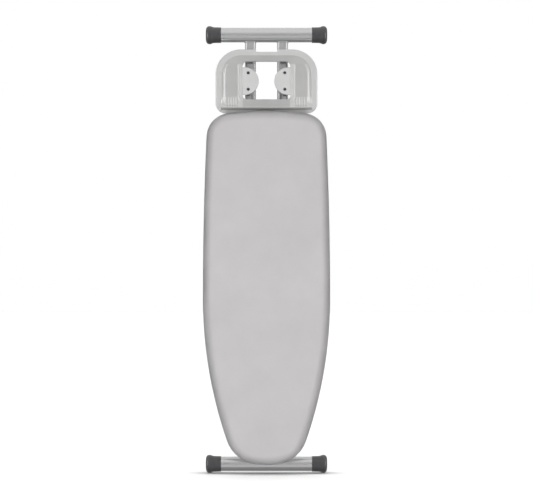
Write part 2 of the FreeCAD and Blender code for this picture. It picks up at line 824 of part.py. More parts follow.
def make_rest_screws():
    """Four screws: head, shank and nut, one solid each, with the head sunk in the lug."""
    screws = []
    nuts = []
    for side in (-1, 1):
        for turn in (-1, 1):
            tag = "%d_%d" % (side + 1, turn + 1)
            x, z = "%d*screw_x" % side, "lug_z+%d*screw_spacing/2" % turn
            head = cylinder_y("screw_head_" + tag, x, "face_y+lug_front+screw_sink-screw_head", "screw_head",
                              z, "screw_head_radius")
            shank = cylinder_y("screw_shank_" + tag, x, "face_y+lug_front+screw_sink",
                               "strap_depth+strap_wall+screw_tail-lug_front-screw_sink", z, "screw_radius")
            screw = doc.addObject("Part::MultiFuse", "screw_" + tag)
            screw.Shapes = [head, shank]
            screws.append(screw)
            blank = doc.addObject("Part::Prism", "nut_blank_" + tag)
            blank.Polygon = 6
            blank.Placement = turned((1, 0, 0), -90)
            for axis, text in zip("xyz", (x, "face_y+strap_depth+strap_wall", z)):
                drive(blank, "Placement.Base." + axis, text)
            drive(blank, "Circumradius", "nut_radius")
            drive(blank, "Height", "nut_height")
            hole = cylinder_y("nut_hole_" + tag, x, "face_y+strap_depth+strap_wall-1", "nut_height+2", z,
                              "screw_radius")
            nut = doc.addObject("Part::Cut", "nut_" + tag)
            nut.Base = blank
            nut.Tool = hole
            nuts.append(nut)
    group("rest_screws", screws)
    group("rest_nuts", nuts)


def make_bracket_rivets():
    """Rivet heads on the cross bars: two for each rail, one for each strap, all with a flat head."""
    places = []
    for side in (-1, 1):
        rail_x = "%d*rail_rivet_x" % side
        places.append((rail_x, "rail_low_z+2+bar_width/2", "rail_wall"))
        places.append((rail_x, "rail_high_z-rail_rivet_from_top", "rail_wall"))
    rivets = []
    for i, (x, z, sheet_wall) in enumerate(places):
        rivets.append(cylinder_y("rivet_%d" % i, x, BAR_REAR + "+" + sheet_wall, "rivet_head", z,
                                 "rivet_head_radius"))
    for side in (-1, 1):
        shank = cylinder_y("strap_rivet_shank_%d" % (side + 1), "%d*strap_x" % side, BAR_REAR, "strap_wall",
                           "strap_rivet_z", "rivet_radius")
        head = cylinder_y("strap_rivet_head_%d" % (side + 1), "%d*strap_x" % side, BAR_REAR + "+strap_wall",
                          "rivet_head", "strap_rivet_z", "rivet_head_radius")
        rivet = doc.addObject("Part::MultiFuse", "strap_rivet_%d" % (side + 1))
        rivet.Shapes = [shank, head]
        rivets.append(rivet)
    group("rivets", rivets)


# Legs


def make_leg_tube(label, x, width, low_z, high_z, bores, foot_z):
    """Hollow flat-oval tube, bored for its pivots and coped to sit on the round foot tube."""
    body = new_body(label)
    section = sketch_on(body, "XY_Plane", "section", low_z)
    flat_oval(section, x, "leg_y", width, "tube_depth")
    flat_oval(section, x, "leg_y", "(%s-2*tube_wall)" % width, "(tube_depth-2*tube_wall)")
    pad(body, section, "%s-(%s)" % (high_z, low_z))
    for i, z in enumerate(bores, start=1):
        bore_along_x(body, "leg_y", z, "pin_radius+bush_wall", "bore_%d" % i)
    bore_along_x(body, "leg_y", foot_z, "foot_tube_radius", "cope")


def make_end_plug(label, x):
    """Plastic plug that closes the lower end of an outer tube."""
    body = new_body(label)
    section = sketch_on(body, "XY_Plane", "section", "hinge_z-tube_end-plug_thickness")
    flat_oval(section, x, "leg_y", "outer_tube_width", "tube_depth")
    pad(body, section, "plug_thickness")


def make_bush(label, x, width, z):
    """Plastic bush through a tube, a running fit on its pin."""
    blank = cylinder_x(label + "_blank", "%s-%s/2" % (x, width), width, "leg_y", z, "pin_radius+bush_wall")
    bore = cylinder_x(label + "_bore", "%s-%s/2-1" % (x, width), "%s+2" % width, "leg_y", z,
                      "pin_radius+running_fit")
    cut(label, blank, bore)


def make_foot_tube(label, z):
    body = new_body(label)
    length = "(foot_length-2*cap_wall)"
    sketch = sketch_on(body, "YZ_Plane", "section", "-%s/2" % length)
    circle(sketch, "leg_y", z, "foot_tube_radius")
    circle(sketch, "leg_y", z, "foot_tube_radius-foot_tube_wall")
    pad(body, sketch, length)


def make_foot_cap(label, side, z):
    """End cap: a sleeve over the tube, a round bead to stand on and a closed end."""
    end = "foot_length/2"

    def start(distance, length):
        """Left end of a cylinder that starts this far in from the cap's outer face."""
        if side > 0:
            return "%s-(%s)" % (end, distance)
        return "-%s+(%s)-(%s)" % (end, distance, length)

    sleeve = cylinder_x(label + "_sleeve", start("cap_sleeve", "(cap_sleeve-cap_round)"),
                        "cap_sleeve-cap_round", "leg_y", z, "cap_sleeve_radius")
    core = cylinder_x(label + "_core", start("2*cap_round", "2*cap_round"), "2*cap_round", "leg_y", z,
                      "cap_radius-cap_round")
    bead = doc.addObject("Part::Torus", label + "_bead")
    bead.Placement = turned((0, 1, 0), 90)
    for axis, text in zip("xyz", ("%d*(%s-cap_round)" % (side, end), "leg_y", z)):
        drive(bead, "Placement.Base." + axis, text)
    drive(bead, "Radius1", "cap_radius-cap_round")
    drive(bead, "Radius2", "cap_round")
    whole = doc.addObject("Part::MultiFuse", label + "_whole")
    whole.Shapes = [sleeve, core, bead]
    bore = cylinder_x(label + "_socket", start("cap_sleeve+1", "(cap_sleeve+1-cap_wall)"),
                      "cap_sleeve+1-cap_wall", "leg_y", z, "foot_tube_radius+cap_fit")
    cut(label, whole, bore)


CROSS_Z = "(hinge_z+slide_z)/2"
OUTER_FOOT_Z = "(hinge_z+leg_length)"
INNER_FOOT_Z = "(slide_z-leg_length)"


def make_outer_leg():
    for name, side in (("left", -1), ("right", 1)):
        x = "%d*outer_tube_x" % side
        make_leg_tube("outer_leg_tube_" + name, x, "outer_tube_width", "hinge_z-tube_end", OUTER_FOOT_Z,
                      ["hinge_z", CROSS_Z], OUTER_FOOT_Z)
        make_bush("hinge_bush_" + name, x, "outer_tube_width", "hinge_z")
        make_bush("cross_bush_" + name, x, "outer_tube_width", CROSS_Z)
        make_end_plug("tube_end_plug_" + name, x)
        make_foot_cap("outer_foot_cap_" + name, side, OUTER_FOOT_Z)
    make_foot_tube("outer_foot_tube", OUTER_FOOT_Z)


def make_cross_bolt():
    """Bolt through both legs where they cross, with its head, a nut and two washers."""
    face = "(outer_tube_x+outer_tube_width/2)"
    shank = cylinder_x("cross_bolt_shank", "-%s-washer" % face, "2*%s+2*washer+bolt_tail" % face, "leg_y",
                       CROSS_Z, "pin_radius")
    head = cylinder_x("cross_bolt_head", "-%s-washer-pin_head" % face, "pin_head", "leg_y", CROSS_Z,
                      "pin_head_radius")
    fused("cross_bolt", [shank, head])
    blank = doc.addObject("Part::Prism", "cross_nut_blank")
    blank.Polygon = 6
    blank.Placement = turned((0, 1, 0), 90)
    for axis, text in zip("xyz", (face + "+washer", "leg_y", CROSS_Z)):
        drive(blank, "Placement.Base." + axis, text)
    drive(blank, "Circumradius", "pin_head_radius")
    drive(blank, "Height", "bolt_nut")
    hole = cylinder_x("cross_nut_hole", face + "+washer-1", "bolt_nut+2", "leg_y", CROSS_Z,
                      "pin_radius")
    cut("cross_nut", blank, hole)
    washers = []
    for name, x in (("left", "-%s-washer" % face), ("right", face)):
        disc = cylinder_x("cross_washer_disc_" + name, x, "washer", "leg_y", CROSS_Z, "washer_radius")
        hole = cylinder_x("cross_washer_hole_" + name, x + "-1", "washer+2", "leg_y", CROSS_Z, "pin_radius")
        washer = doc.addObject("Part::Cut", "cross_washer_" + name)
        washer.Base = disc
        washer.Tool = hole
        washers.append(washer)
    group("cross_washers", washers)


def make_cross_spacers():
    """Plastic spacers that keep the inner leg centred between the outer tubes."""
    gap_in = "(inner_tube_width/2+spacer_gap)"
    gap_out = "(outer_tube_x-outer_tube_width/2)"
    for name, side in (("left", -1), ("right", 1)):
        x = gap_in if side > 0 else "-" + gap_out
        length = "%s-%s" % (gap_out, gap_in)
        blank = cylinder_x("cross_spacer_blank_" + name, x, length, "leg_y", CROSS_Z, "washer_radius")
        bore = cylinder_x("cross_spacer_bore_" + name, x + "-1", length + "+2", "leg_y", CROSS_Z,
                          "pin_radius")
        cut("cross_spacer_" + name, blank, bore)


def make_inner_leg():
    make_leg_tube("inner_leg_tube", "0", "inner_tube_width", INNER_FOOT_Z, "slide_z+inner_tube_end",
                  [CROSS_Z, "slide_z"], INNER_FOOT_Z)
    make_bush("inner_cross_bush", "0", "inner_tube_width", CROSS_Z)
    make_bush("slide_bush", "0", "inner_tube_width", "slide_z")
    make_foot_tube("inner_foot_tube", INNER_FOOT_Z)
    for name, side in (("left", -1), ("right", 1)):
        make_foot_cap("inner_foot_cap_" + name, side, INNER_FOOT_Z)


# Slide carriage


def make_slide_yoke():
    """Yoke over the top of the inner leg: two cheeks on the axle, and a base that carries the rack."""
    body = new_body("slide_yoke")
    sketch = sketch_on(body, "XY_Plane", "section", "slide_z-yoke_length/2")
    out = "yoke_x+yoke_wall"
    base_front, base_rear, rear = "face_y+yoke_depth", "face_y+yoke_depth+yoke_wall", "leg_y+yoke_cheek"
    polygon(sketch, [
        ("-(%s)" % out, base_front), (out, base_front), (out, rear), ("yoke_x", rear), ("yoke_x", base_rear),
        ("-yoke_x", base_rear), ("-yoke_x", rear), ("-(%s)" % out, rear),
    ])
    pad(body, sketch, "yoke_length")
    bore_along_x(body, "leg_y", "slide_z", "pin_radius", "bore")


def make_slide_axle():
    half = "(rail_web_x-block_play-axle_end_gap)"
    shank = cylinder_x("slide_axle_shank", "-%s" % half, "2*%s" % half, "leg_y", "slide_z", "pin_radius")
    fused("slide_axle", [shank])


def make_slide_block(label, side):
    """Plastic block that runs in one rail, bored for the axle."""
    inner = "(yoke_x+yoke_wall)"
    outer = "(rail_web_x-block_play)"
    x = inner if side > 0 else "-" + outer
    length = "(%s-%s)" % (outer, inner)
    thickness = "(rail_opening-2*block_play)"
    blank = box(label + "_blank", x, "leg_y-%s/2" % thickness, "slide_z-block_length/2", length, thickness,
                "block_length")
    bore_x = x + "-1" if side > 0 else "-%s+2" % outer
    bore = cylinder_x(label + "_bore", bore_x, "%s-1" % length, "leg_y", "slide_z", "pin_radius")
    cut(label, blank, bore)


def make_toothed_bar():
    """Bar on the carriage, with a row of notches for the heights and one more for storage."""
    body = new_body("toothed_bar")
    sketch = sketch_on(body, "YZ_Plane", "side", "-rack_width/2")
    front, floor, rear = "face_y+rack_front_depth", "face_y+rack_front_depth+notch_depth", "face_y+yoke_depth"
    top, low = "slide_z+yoke_length/2", "slide_z-rack_from_slide-rack_length"
    centres = ["slide_z-open_notch-%d*tooth_pitch" % i for i in range(int(number("notch_count")))]
    centres.append("slide_z-stored_notch")
    corners = [(rear, low), (rear, top), (front, top)]
    for centre in centres:
        corners += [(front, centre + "+notch_width/2+notch_slope"), (floor, centre + "+notch_width/2"),
                    (floor, centre + "-notch_width/2"), (front, centre + "-notch_width/2-notch_slope")]
    corners.append((front, low))
    polygon(sketch, corners)
    pad(body, sketch, "rack_width")


# Height lever


def make_lever_shaft():
    shank = cylinder_x("lever_shaft_rod", "shaft_start_x", "shaft_end_x-shaft_start_x", "face_y+shaft_depth",
                       "shaft_z", "shaft_radius")
    fused("lever_shaft", [shank])


def make_pawl():
    """Pawl on the shaft, its tip just clear of the tops of the teeth."""
    body = new_body("pawl")
    sketch = sketch_on(body, "YZ_Plane", "side", "-pawl_width/2")
    axis_y = "face_y+shaft_depth"
    tip_y = "face_y+rack_front_depth-pawl_clearance"
    polygon(sketch, [
        (axis_y + "-shaft_radius+1", "shaft_z-pawl_reach-pawl_tip/2"),
        (tip_y, "shaft_z-pawl_reach-pawl_tip/2"), (tip_y, "shaft_z-pawl_reach+pawl_tip/2"),
        (axis_y + "+shaft_radius-1", "shaft_z-pawl_reach+pawl_tip/2+4"),
        (axis_y + "+pawl_boss", "shaft_z-pawl_boss+1"), (axis_y + "+pawl_boss", "shaft_z+pawl_boss"),
        (axis_y + "-pawl_boss", "shaft_z+pawl_boss"), (axis_y + "-pawl_boss", "shaft_z-pawl_boss"),
    ])
    pad(body, sketch, "pawl_width")
    bore_along_x(body, axis_y, "shaft_z", "shaft_radius", "bore")


def make_lever_grip():
    """Grip: a paddle that leans back from the shaft, so that it can be squeezed towards the top."""
    body = new_body("lever_grip")
    sketch = sketch_on(body, "YZ_Plane", "side", "shaft_end_x")
    axis_y = "face_y+shaft_depth"
    half = "grip_thickness/2"
    low = "shaft_z-grip_length"
    polygon(sketch, [
        (axis_y + "-" + half, "shaft_z-4"), (axis_y + "+grip_lean-" + half, low + "+grip_bend"),
        (axis_y + "+grip_lean+2-" + half, low), (axis_y + "+grip_lean+2+" + half, low),
        (axis_y + "+grip_lean+" + half, low + "+grip_bend+2"), (axis_y + "+" + half, "shaft_z-2"),
        (axis_y + "+" + half, "shaft_z+grip_boss"), (axis_y + "-" + half, "shaft_z+grip_boss"),
    ])
    pad(body, sketch, "grip_width")
    low_z = number(low)
    fillet(body, "grip_round", "edges", lambda p, way: abs(way.x) > 0.9 and p.z < low_z + 2)


def make_lever_bracket(label, x):
    """Bearing bracket of the shaft: a foot against the panel and an upright with a running bore."""
    body = new_body(label)
    sketch = sketch_on(body, "YZ_Plane", "side", x)
    rear, foot_rear = "face_y+shaft_depth+bearing_half", RIM_FRONT + "+bearing_foot"
    low, high = "shaft_z-bearing_half", "shaft_z+bearing_half"
    rectangle(sketch, RIM_FRONT, rear, low, high)
    pad(body, sketch, "bearing_wall")
    foot = sketch_on(body, "YZ_Plane", "foot", x)
    rectangle(foot, RIM_FRONT, foot_rear, low, high)
    pad(body, foot, "bearing_foot_width", "foot_pad")
    bore_along_x(body, "face_y+shaft_depth", "shaft_z", "shaft_radius+running_fit", "bore")


def make_lever_spring():
    """Torsion spring round the shaft, drawn as the sleeve that its coils fill."""
    blank = cylinder_x("spring_blank", "spring_x", "spring_length", "face_y+shaft_depth", "shaft_z",
                       "shaft_radius+spring_gap+spring_wire")
    hole = cylinder_x("spring_hole", "spring_x-1", "spring_length+2", "face_y+shaft_depth", "shaft_z",
                      "shaft_radius+spring_gap")
    cut("lever_spring", blank, hole)


def build():
    fill_sheet()
    make_cover()
    make_foam_pad()
    make_top_panel()
    make_rim_frame()
    make_cross_bar("cross_bar_nose", "hinge_z-bar_width/2")
    make_cross_bar("cross_bar_middle", "rail_low_z+2")
    make_cross_bar("cross_bar_heel", "strap_low_z-1")
    make_lever_bracket("lever_bracket_inner", "bearing_inner_x")
    make_lever_bracket("lever_bracket_outer", "bearing_outer_x")
    make_iron_rest()
    make_rest_screws()
    make_bracket_rivets()
    make_outer_leg()
    make_cross_bolt()
    make_cross_spacers()
    make_inner_leg()
    make_slide_yoke()
    make_slide_axle()
    make_toothed_bar()
    make_lever_shaft()
    make_pawl()
    make_lever_grip()
    make_lever_spring()
    for name, side in (("left", -1), ("right", 1)):
        make_slide_rail("slide_rail_" + name, side)
        make_hinge_bracket("hinge_bracket_" + name, side)
        make_hinge_pin("hinge_pin_" + name, side)
        make_rest_bracket("rest_bracket_" + name, side)
        make_slide_block("slide_block_" + name, side)
    doc.recompute()


def check_and_export():
    for item in doc.Objects:
        if "Invalid" in item.State or "Error" in item.State:
            raise ValueError(item.Label + " did not build")
    labels = [item.Label for item in nodes]
    if len(labels) != len(set(labels)):
        raise ValueError("two nodes share a label")
    os.makedirs("parts", exist_ok=True)
    for item in nodes:
        if item.Shape.isNull() or not item.Shape.isValid():
            raise ValueError(item.Label + " has no valid shape")
        item.Shape.exportStep("parts/%s.step" % item.Label)


build()
check_and_export()
print("%d nodes written" % len(nodes))
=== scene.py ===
import json
import math

import bmesh
import bpy
import numpy as np
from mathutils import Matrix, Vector, noise
from mathutils.kdtree import KDTree


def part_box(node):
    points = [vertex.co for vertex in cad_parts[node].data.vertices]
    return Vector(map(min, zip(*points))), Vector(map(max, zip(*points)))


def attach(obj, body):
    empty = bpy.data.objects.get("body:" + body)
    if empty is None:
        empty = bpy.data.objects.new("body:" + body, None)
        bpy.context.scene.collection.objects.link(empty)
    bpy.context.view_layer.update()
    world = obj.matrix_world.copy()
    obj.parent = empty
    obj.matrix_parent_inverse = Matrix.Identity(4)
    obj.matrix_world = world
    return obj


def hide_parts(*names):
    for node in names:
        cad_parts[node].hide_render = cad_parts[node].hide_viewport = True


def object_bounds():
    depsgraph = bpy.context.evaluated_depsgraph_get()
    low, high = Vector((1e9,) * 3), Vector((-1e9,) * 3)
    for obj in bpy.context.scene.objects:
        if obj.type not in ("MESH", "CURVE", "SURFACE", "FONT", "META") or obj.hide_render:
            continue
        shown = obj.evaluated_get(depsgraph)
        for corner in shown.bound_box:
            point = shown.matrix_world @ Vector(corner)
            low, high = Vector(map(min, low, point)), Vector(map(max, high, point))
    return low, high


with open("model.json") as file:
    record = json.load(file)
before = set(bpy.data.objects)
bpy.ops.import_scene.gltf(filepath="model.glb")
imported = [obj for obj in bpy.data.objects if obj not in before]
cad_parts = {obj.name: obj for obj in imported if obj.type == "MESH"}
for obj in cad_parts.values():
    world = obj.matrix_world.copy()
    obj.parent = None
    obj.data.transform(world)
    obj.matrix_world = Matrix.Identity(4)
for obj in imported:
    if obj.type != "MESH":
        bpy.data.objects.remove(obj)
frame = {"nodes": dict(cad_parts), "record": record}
cad_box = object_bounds()
NODES = frame["nodes"]
MM = 0.001

# The board stands upright: +X right, the ironing face looks along -Y, +Z up.


# ---- node helpers


def new_material(name):
    material = bpy.data.materials.new(name)
    material.use_nodes = True
    tree = material.node_tree
    tree.nodes.clear()
    output = tree.nodes.new("ShaderNodeOutputMaterial")
    shader = tree.nodes.new("ShaderNodeBsdfPrincipled")
    tree.links.new(shader.outputs["BSDF"], output.inputs["Surface"])
    return material, tree, shader


def node_of(tree, kind, **values):
    made = tree.nodes.new(kind)
    for name, value in values.items():
        setattr(made, name, value)
    return made


def noise_of(tree, scale, detail=3.0, roughness=0.55, stretch=None):
    """Noise in object space, so that it stays on the piece; stretch scales each axis."""
    coordinates = node_of(tree, "ShaderNodeTexCoord")
    source = coordinates.outputs["Object"]
    if stretch:
        mapping = node_of(tree, "ShaderNodeMapping")
        mapping.inputs["Scale"].default_value = stretch
        tree.links.new(source, mapping.inputs["Vector"])
        source = mapping.outputs["Vector"]
    texture = node_of(tree, "ShaderNodeTexNoise")
    texture.inputs["Scale"].default_value = scale
    texture.inputs["Detail"].default_value = detail
    texture.inputs["Roughness"].default_value = roughness
    tree.links.new(source, texture.inputs["Vector"])
    return texture.outputs["Fac"]


def ramp(tree, source, low, high):
    """A colour that runs from low to high over the middle of a noise's range."""
    made = node_of(tree, "ShaderNodeValToRGB")
    made.color_ramp.elements[0].position = 0.3
    made.color_ramp.elements[1].position = 0.7
    made.color_ramp.elements[0].color = (*low, 1.0)
    made.color_ramp.elements[1].color = (*high, 1.0)
    tree.links.new(source, made.inputs["Fac"])
    return made.outputs["Color"]


def tones(tree, shader, source, colour, darkest, lightest):
    """Colour the surface in tones of one colour, as the source goes."""
    made = ramp(tree, source, tint(colour, darkest), tint(colour, lightest))
    tree.links.new(made, shader.inputs["Base Color"])


def grey_stops(tree, source, stops):
    """A grey that runs through (place, level) stops."""
    made = node_of(tree, "ShaderNodeValToRGB")
    for i, (place, level) in enumerate(stops):
        stop = made.color_ramp.elements[i] if i < 2 else made.color_ramp.elements.new(place)
        stop.position = place
        stop.color = (level, level, level, 1.0)
    tree.links.new(source, made.inputs["Fac"])
    return made.outputs["Color"]


def remap(tree, source, low, high):
    """The source's 0 to 1 as low to high."""
    made = node_of(tree, "ShaderNodeMapRange")
    made.inputs["To Min"].default_value = low
    made.inputs["To Max"].default_value = high
    tree.links.new(source, made.inputs["Value"])
    return made.outputs["Result"]


def math_node(tree, operation, *values):
    made = node_of(tree, "ShaderNodeMath", operation=operation)
    for socket, value in zip(made.inputs, values):
        if isinstance(value, (int, float)):
            socket.default_value = value
        else:
            tree.links.new(value, socket)
    return made.outputs["Value"]


def object_axis(tree, axis):
    """One coordinate of object space."""
    coordinates = node_of(tree, "ShaderNodeTexCoord")
    split = node_of(tree, "ShaderNodeSeparateXYZ")
    tree.links.new(coordinates.outputs["Object"], split.inputs["Vector"])
    return split.outputs[axis]


def bump(tree, shader, height, strength, distance):
    made = node_of(tree, "ShaderNodeBump")
    made.inputs["Strength"].default_value = strength
    made.inputs["Distance"].default_value = distance
    tree.links.new(height, made.inputs["Height"])
    tree.links.new(made.outputs["Normal"], shader.inputs["Normal"])


def tint(colour, factor):
    return tuple(min(1.0, channel * factor) for channel in colour)


# ---- materials


WEAVE_PITCH = 1.1 * MM
HALF_REST = 172 * MM


def threads(tree, axis):
    """One set of threads across an axis of object space, as a rounded ridge from 0 to 1."""
    turns = math_node(tree, "MULTIPLY", object_axis(tree, axis), 2 * math.pi / WEAVE_PITCH)
    return math_node(tree, "MULTIPLY_ADD", math_node(tree, "SINE", turns), 0.5, 0.5)


def cloth_material(name, colour, strength=0.25):
    """Plain-woven cotton: crossed threads, slightly uneven tone and a soft sheen."""
    material, tree, shader = new_material(name)
    blotch = noise_of(tree, 9.0, detail=4.0)
    fleck = noise_of(tree, 900.0, detail=2.0)
    tone = math_node(tree, "ADD", math_node(tree, "MULTIPLY", blotch, 0.6),
                     math_node(tree, "MULTIPLY", fleck, 0.4))
    tones(tree, shader, tone, colour, 0.94, 1.05)
    weave = math_node(tree, "MULTIPLY", threads(tree, "X"), threads(tree, "Z"))
    uneven = math_node(tree, "ADD", weave, math_node(tree, "MULTIPLY", fleck, 0.5))
    bump(tree, shader, uneven, strength, 0.25 * MM)
    shader.inputs["Roughness"].default_value = 0.62
    shader.inputs["Specular IOR Level"].default_value = 0.12
    shader.inputs["Specular Tint"].default_value = (0.35, 0.35, 0.35, 1.0)
    shader.inputs["Metallic"].default_value = 0.35
    return material


def felt_material(name, colour):
    """Matted fibres, without any gloss."""
    material, tree, shader = new_material(name)
    fibres = noise_of(tree, 420.0, detail=6.0, roughness=0.7)
    tones(tree, shader, fibres, colour, 0.82, 1.08)
    bump(tree, shader, fibres, 0.5, 0.6 * MM)
    shader.inputs["Roughness"].default_value = 0.95
    shader.inputs["Specular IOR Level"].default_value = 0.2
    return material


def paint_material(name, colour, metallic=0.55, roughness=0.22):
    """Silver-grey powder coat: fine orange peel, small metallic flecks and a few soft smudges."""
    material, tree, shader = new_material(name)
    fleck = noise_of(tree, 1600.0, detail=2.0)
    smudge = noise_of(tree, 14.0, detail=5.0)
    tones(tree, shader, fleck, colour, 0.93, 1.07)
    tree.links.new(remap(tree, smudge, roughness - 0.05, roughness + 0.08), shader.inputs["Roughness"])
    peel = noise_of(tree, 380.0, detail=2.0)
    bump(tree, shader, peel, 0.015, 0.2 * MM)
    shader.inputs["Metallic"].default_value = metallic
    return material


def plastic_material(name, colour, roughness, grain, scale=1100.0, metallic=0.0, across=()):
    """Injection-moulded plastic with a fine spark-eroded grain and faint handling marks.

    across holds stops of painted shade, each as (share of half the rest's width, tone): the tone multiplies
    the colour, darker towards the middle line, to stand for shade."""
    material, tree, shader = new_material(name)
    cloud = noise_of(tree, 22.0, detail=4.0)
    base = ramp(tree, cloud, tint(colour, 0.965), tint(colour, 1.03))
    # Painted shade: a grey that runs across the rest's width multiplies the colour.
    if across:
        side = math_node(tree, "ABSOLUTE", object_axis(tree, "X"))
        share = math_node(tree, "MULTIPLY", side, 1 / HALF_REST)
        mix = node_of(tree, "ShaderNodeMix", data_type="RGBA", blend_type="MULTIPLY")
        mix.inputs["Factor"].default_value = 1.0
        tree.links.new(base, mix.inputs["A"])
        tree.links.new(grey_stops(tree, share, across), mix.inputs["B"])
        base = mix.outputs["Result"]
    tree.links.new(base, shader.inputs["Base Color"])
    tree.links.new(remap(tree, cloud, roughness - 0.05, roughness + 0.07), shader.inputs["Roughness"])
    bump(tree, shader, noise_of(tree, scale, detail=3.0), grain, 0.15 * MM)
    shader.inputs["Specular IOR Level"].default_value = 0.5
    shader.inputs["Metallic"].default_value = metallic
    return material


def steel_material(name, colour, roughness=0.32):
    """Zinc-plated steel, lightly brushed across its height."""
    material, tree, shader = new_material(name)
    brushed = noise_of(tree, 260.0, detail=4.0, stretch=(1.0, 1.0, 12.0))
    tones(tree, shader, brushed, colour, 0.86, 1.08)
    tree.links.new(remap(tree, brushed, roughness - 0.07, roughness + 0.12), shader.inputs["Roughness"])
    bump(tree, shader, brushed, 0.12, 0.1 * MM)
    shader.inputs["Metallic"].default_value = 0.9
    return material


MATERIALS = {
    "cover_cloth": cloth_material("cover_cloth", (0.50, 0.488, 0.493)),
    "hem_cloth": cloth_material("hem_cloth", (0.47, 0.46, 0.465), strength=0.3),
    "foam": felt_material("felt", (0.72, 0.71, 0.67)),
    "light_plastic": plastic_material("rest_plastic", (0.58, 0.58, 0.575), 0.36, 0.1, metallic=0.22),
    # Painted shade and light on the rest: the next three are copies of the rest's plastic. One is darker, for
    # shade in its recesses, grooves, top band and middle. One is lighter, for painted light on the lugs. The
    # darkest is for the shade along its lower edge behind the cover.
    "rest_shaded_plastic": plastic_material("rest_shaded_plastic", (0.50, 0.50, 0.495), 0.5, 0.25, metallic=0.2,
                                   across=((0.0, 0.86), (0.9, 1.0))),
    "rest_lug_lit_plastic": plastic_material("rest_lug_lit_plastic", (0.62, 0.62, 0.615), 0.5, 0.7, scale=360.0),
    "rest_apron_shaded_plastic": plastic_material("rest_apron_shaded_plastic", (0.36, 0.36, 0.356), 0.55, 0.3,
                                   across=((0.0, 0.69), (0.75, 1.0), (0.9, 1.6))),
    # Painted shade: a near-black paint for the straps' returned edges, standing for the dark shade line round
    # the straps.
    "strap_edge_shade_paint": paint_material("strap_edge_shade_paint", (0.07, 0.07, 0.072), metallic=0.2, roughness=0.5),
    "dark_steel": steel_material("dark_steel", (0.16, 0.16, 0.165), roughness=0.4),
    "silver_paint": paint_material("silver_paint", (0.51, 0.51, 0.515)),
    # Painted shade: the legs' copy of the silver paint is darker as well as rougher, though legs and feet
    # carry one paint.
    "leg_paint_shaded": paint_material("leg_paint_shaded", (0.44, 0.44, 0.445), metallic=0.35, roughness=0.36),
    "grey_paint": paint_material("grey_paint", (0.40, 0.40, 0.41), metallic=0.2, roughness=0.45),
    "bright_steel": steel_material("bright_steel", (0.66, 0.66, 0.67)),
    "dark_plastic": plastic_material("cap_plastic", (0.054, 0.054, 0.057), 0.42, 0.2, scale=700.0),
    "black_plastic": plastic_material("black_plastic", (0.028, 0.028, 0.03), 0.42, 0.25),
}


def paint(piece, material):
    piece.data.materials.clear()
    piece.data.materials.append(material)


SLOT_OF = {part["node"]: part["material_slot"] for part in frame["record"]["subparts"]}
BODY_OF = {node: body for body, held in frame["record"]["behaviour"]["bodies"].items() for node in held}
for node_name, node_object in NODES.items():
    # The leg tubes take the darker, shaded copy of the silver paint.
    paint(node_object, MATERIALS["leg_paint_shaded" if "leg_tube" in node_name else SLOT_OF[node_name]])


# ---- mesh helpers


def linked_object(name, data):
    made = bpy.data.objects.new(name, data)
    bpy.context.scene.collection.objects.link(made)
    return made


def add_object(name, mesh, material, smooth=True):
    piece = linked_object(name, mesh)
    paint(piece, material)
    if smooth:
        shade_smooth(mesh)
    return piece


def shade_smooth(mesh):
    for polygon in mesh.polygons:
        polygon.use_smooth = True


def mesh_from(name, points, faces):
    mesh = bpy.data.meshes.new(name)
    mesh.from_pydata([tuple(p) for p in points], [], [tuple(f) for f in faces])
    mesh.update()
    return mesh


def ring_faces(first, second, count):
    """Quads between two closed rings that start at these vertex numbers."""
    faces = []
    for i in range(count):
        j = (i + 1) % count
        faces.append((first + i, first + j, second + j, second + i))
    return faces


def smooth_by_angle(piece, degrees):
    shade_smooth(piece.data)
    piece.data.set_sharp_from_angle(angle=math.radians(degrees))


def copy_of(node, name):
    mesh = NODES[node].data.copy()
    mesh.name = name
    return linked_object(name, mesh)


def mesh_of(work, name):
    """A mesh from a bmesh, which is freed."""
    mesh = bpy.data.meshes.new(name)
    work.to_mesh(mesh)
    work.free()
    return mesh


def modify(piece, kind, **values):
    made = piece.modifiers.new(kind.lower(), kind)
    for name, value in values.items():
        setattr(made, name, value)


def apply_modifiers(piece):
    depsgraph = bpy.context.evaluated_depsgraph_get()
    made = bpy.data.meshes.new_from_object(piece.evaluated_get(depsgraph))
    old = piece.data
    piece.modifiers.clear()
    piece.data = made
    bpy.data.meshes.remove(old)


def finish_piece(piece, body, slot, *replaced):
    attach(piece, body)
    if replaced:
        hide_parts(*replaced)


def step_up(value, start, end):
    """A smooth step from 0 at start to 1 at end."""
    t = min(1.0, max(0.0, (value - start) / (end - start)))
    return t * t * (3 - 2 * t)


def wander(position, scale, seed):
    """A slow change along a line, from about -1 to 1."""
    return noise.noise(Vector((position * scale, seed, 0.37 * seed)))


# ---- outline of the top


OUTLINE_POINTS = 1200
PANEL_INSET = 6 * MM
BEND_RADIUS = 0.1
SPINE_REACH = 0.17


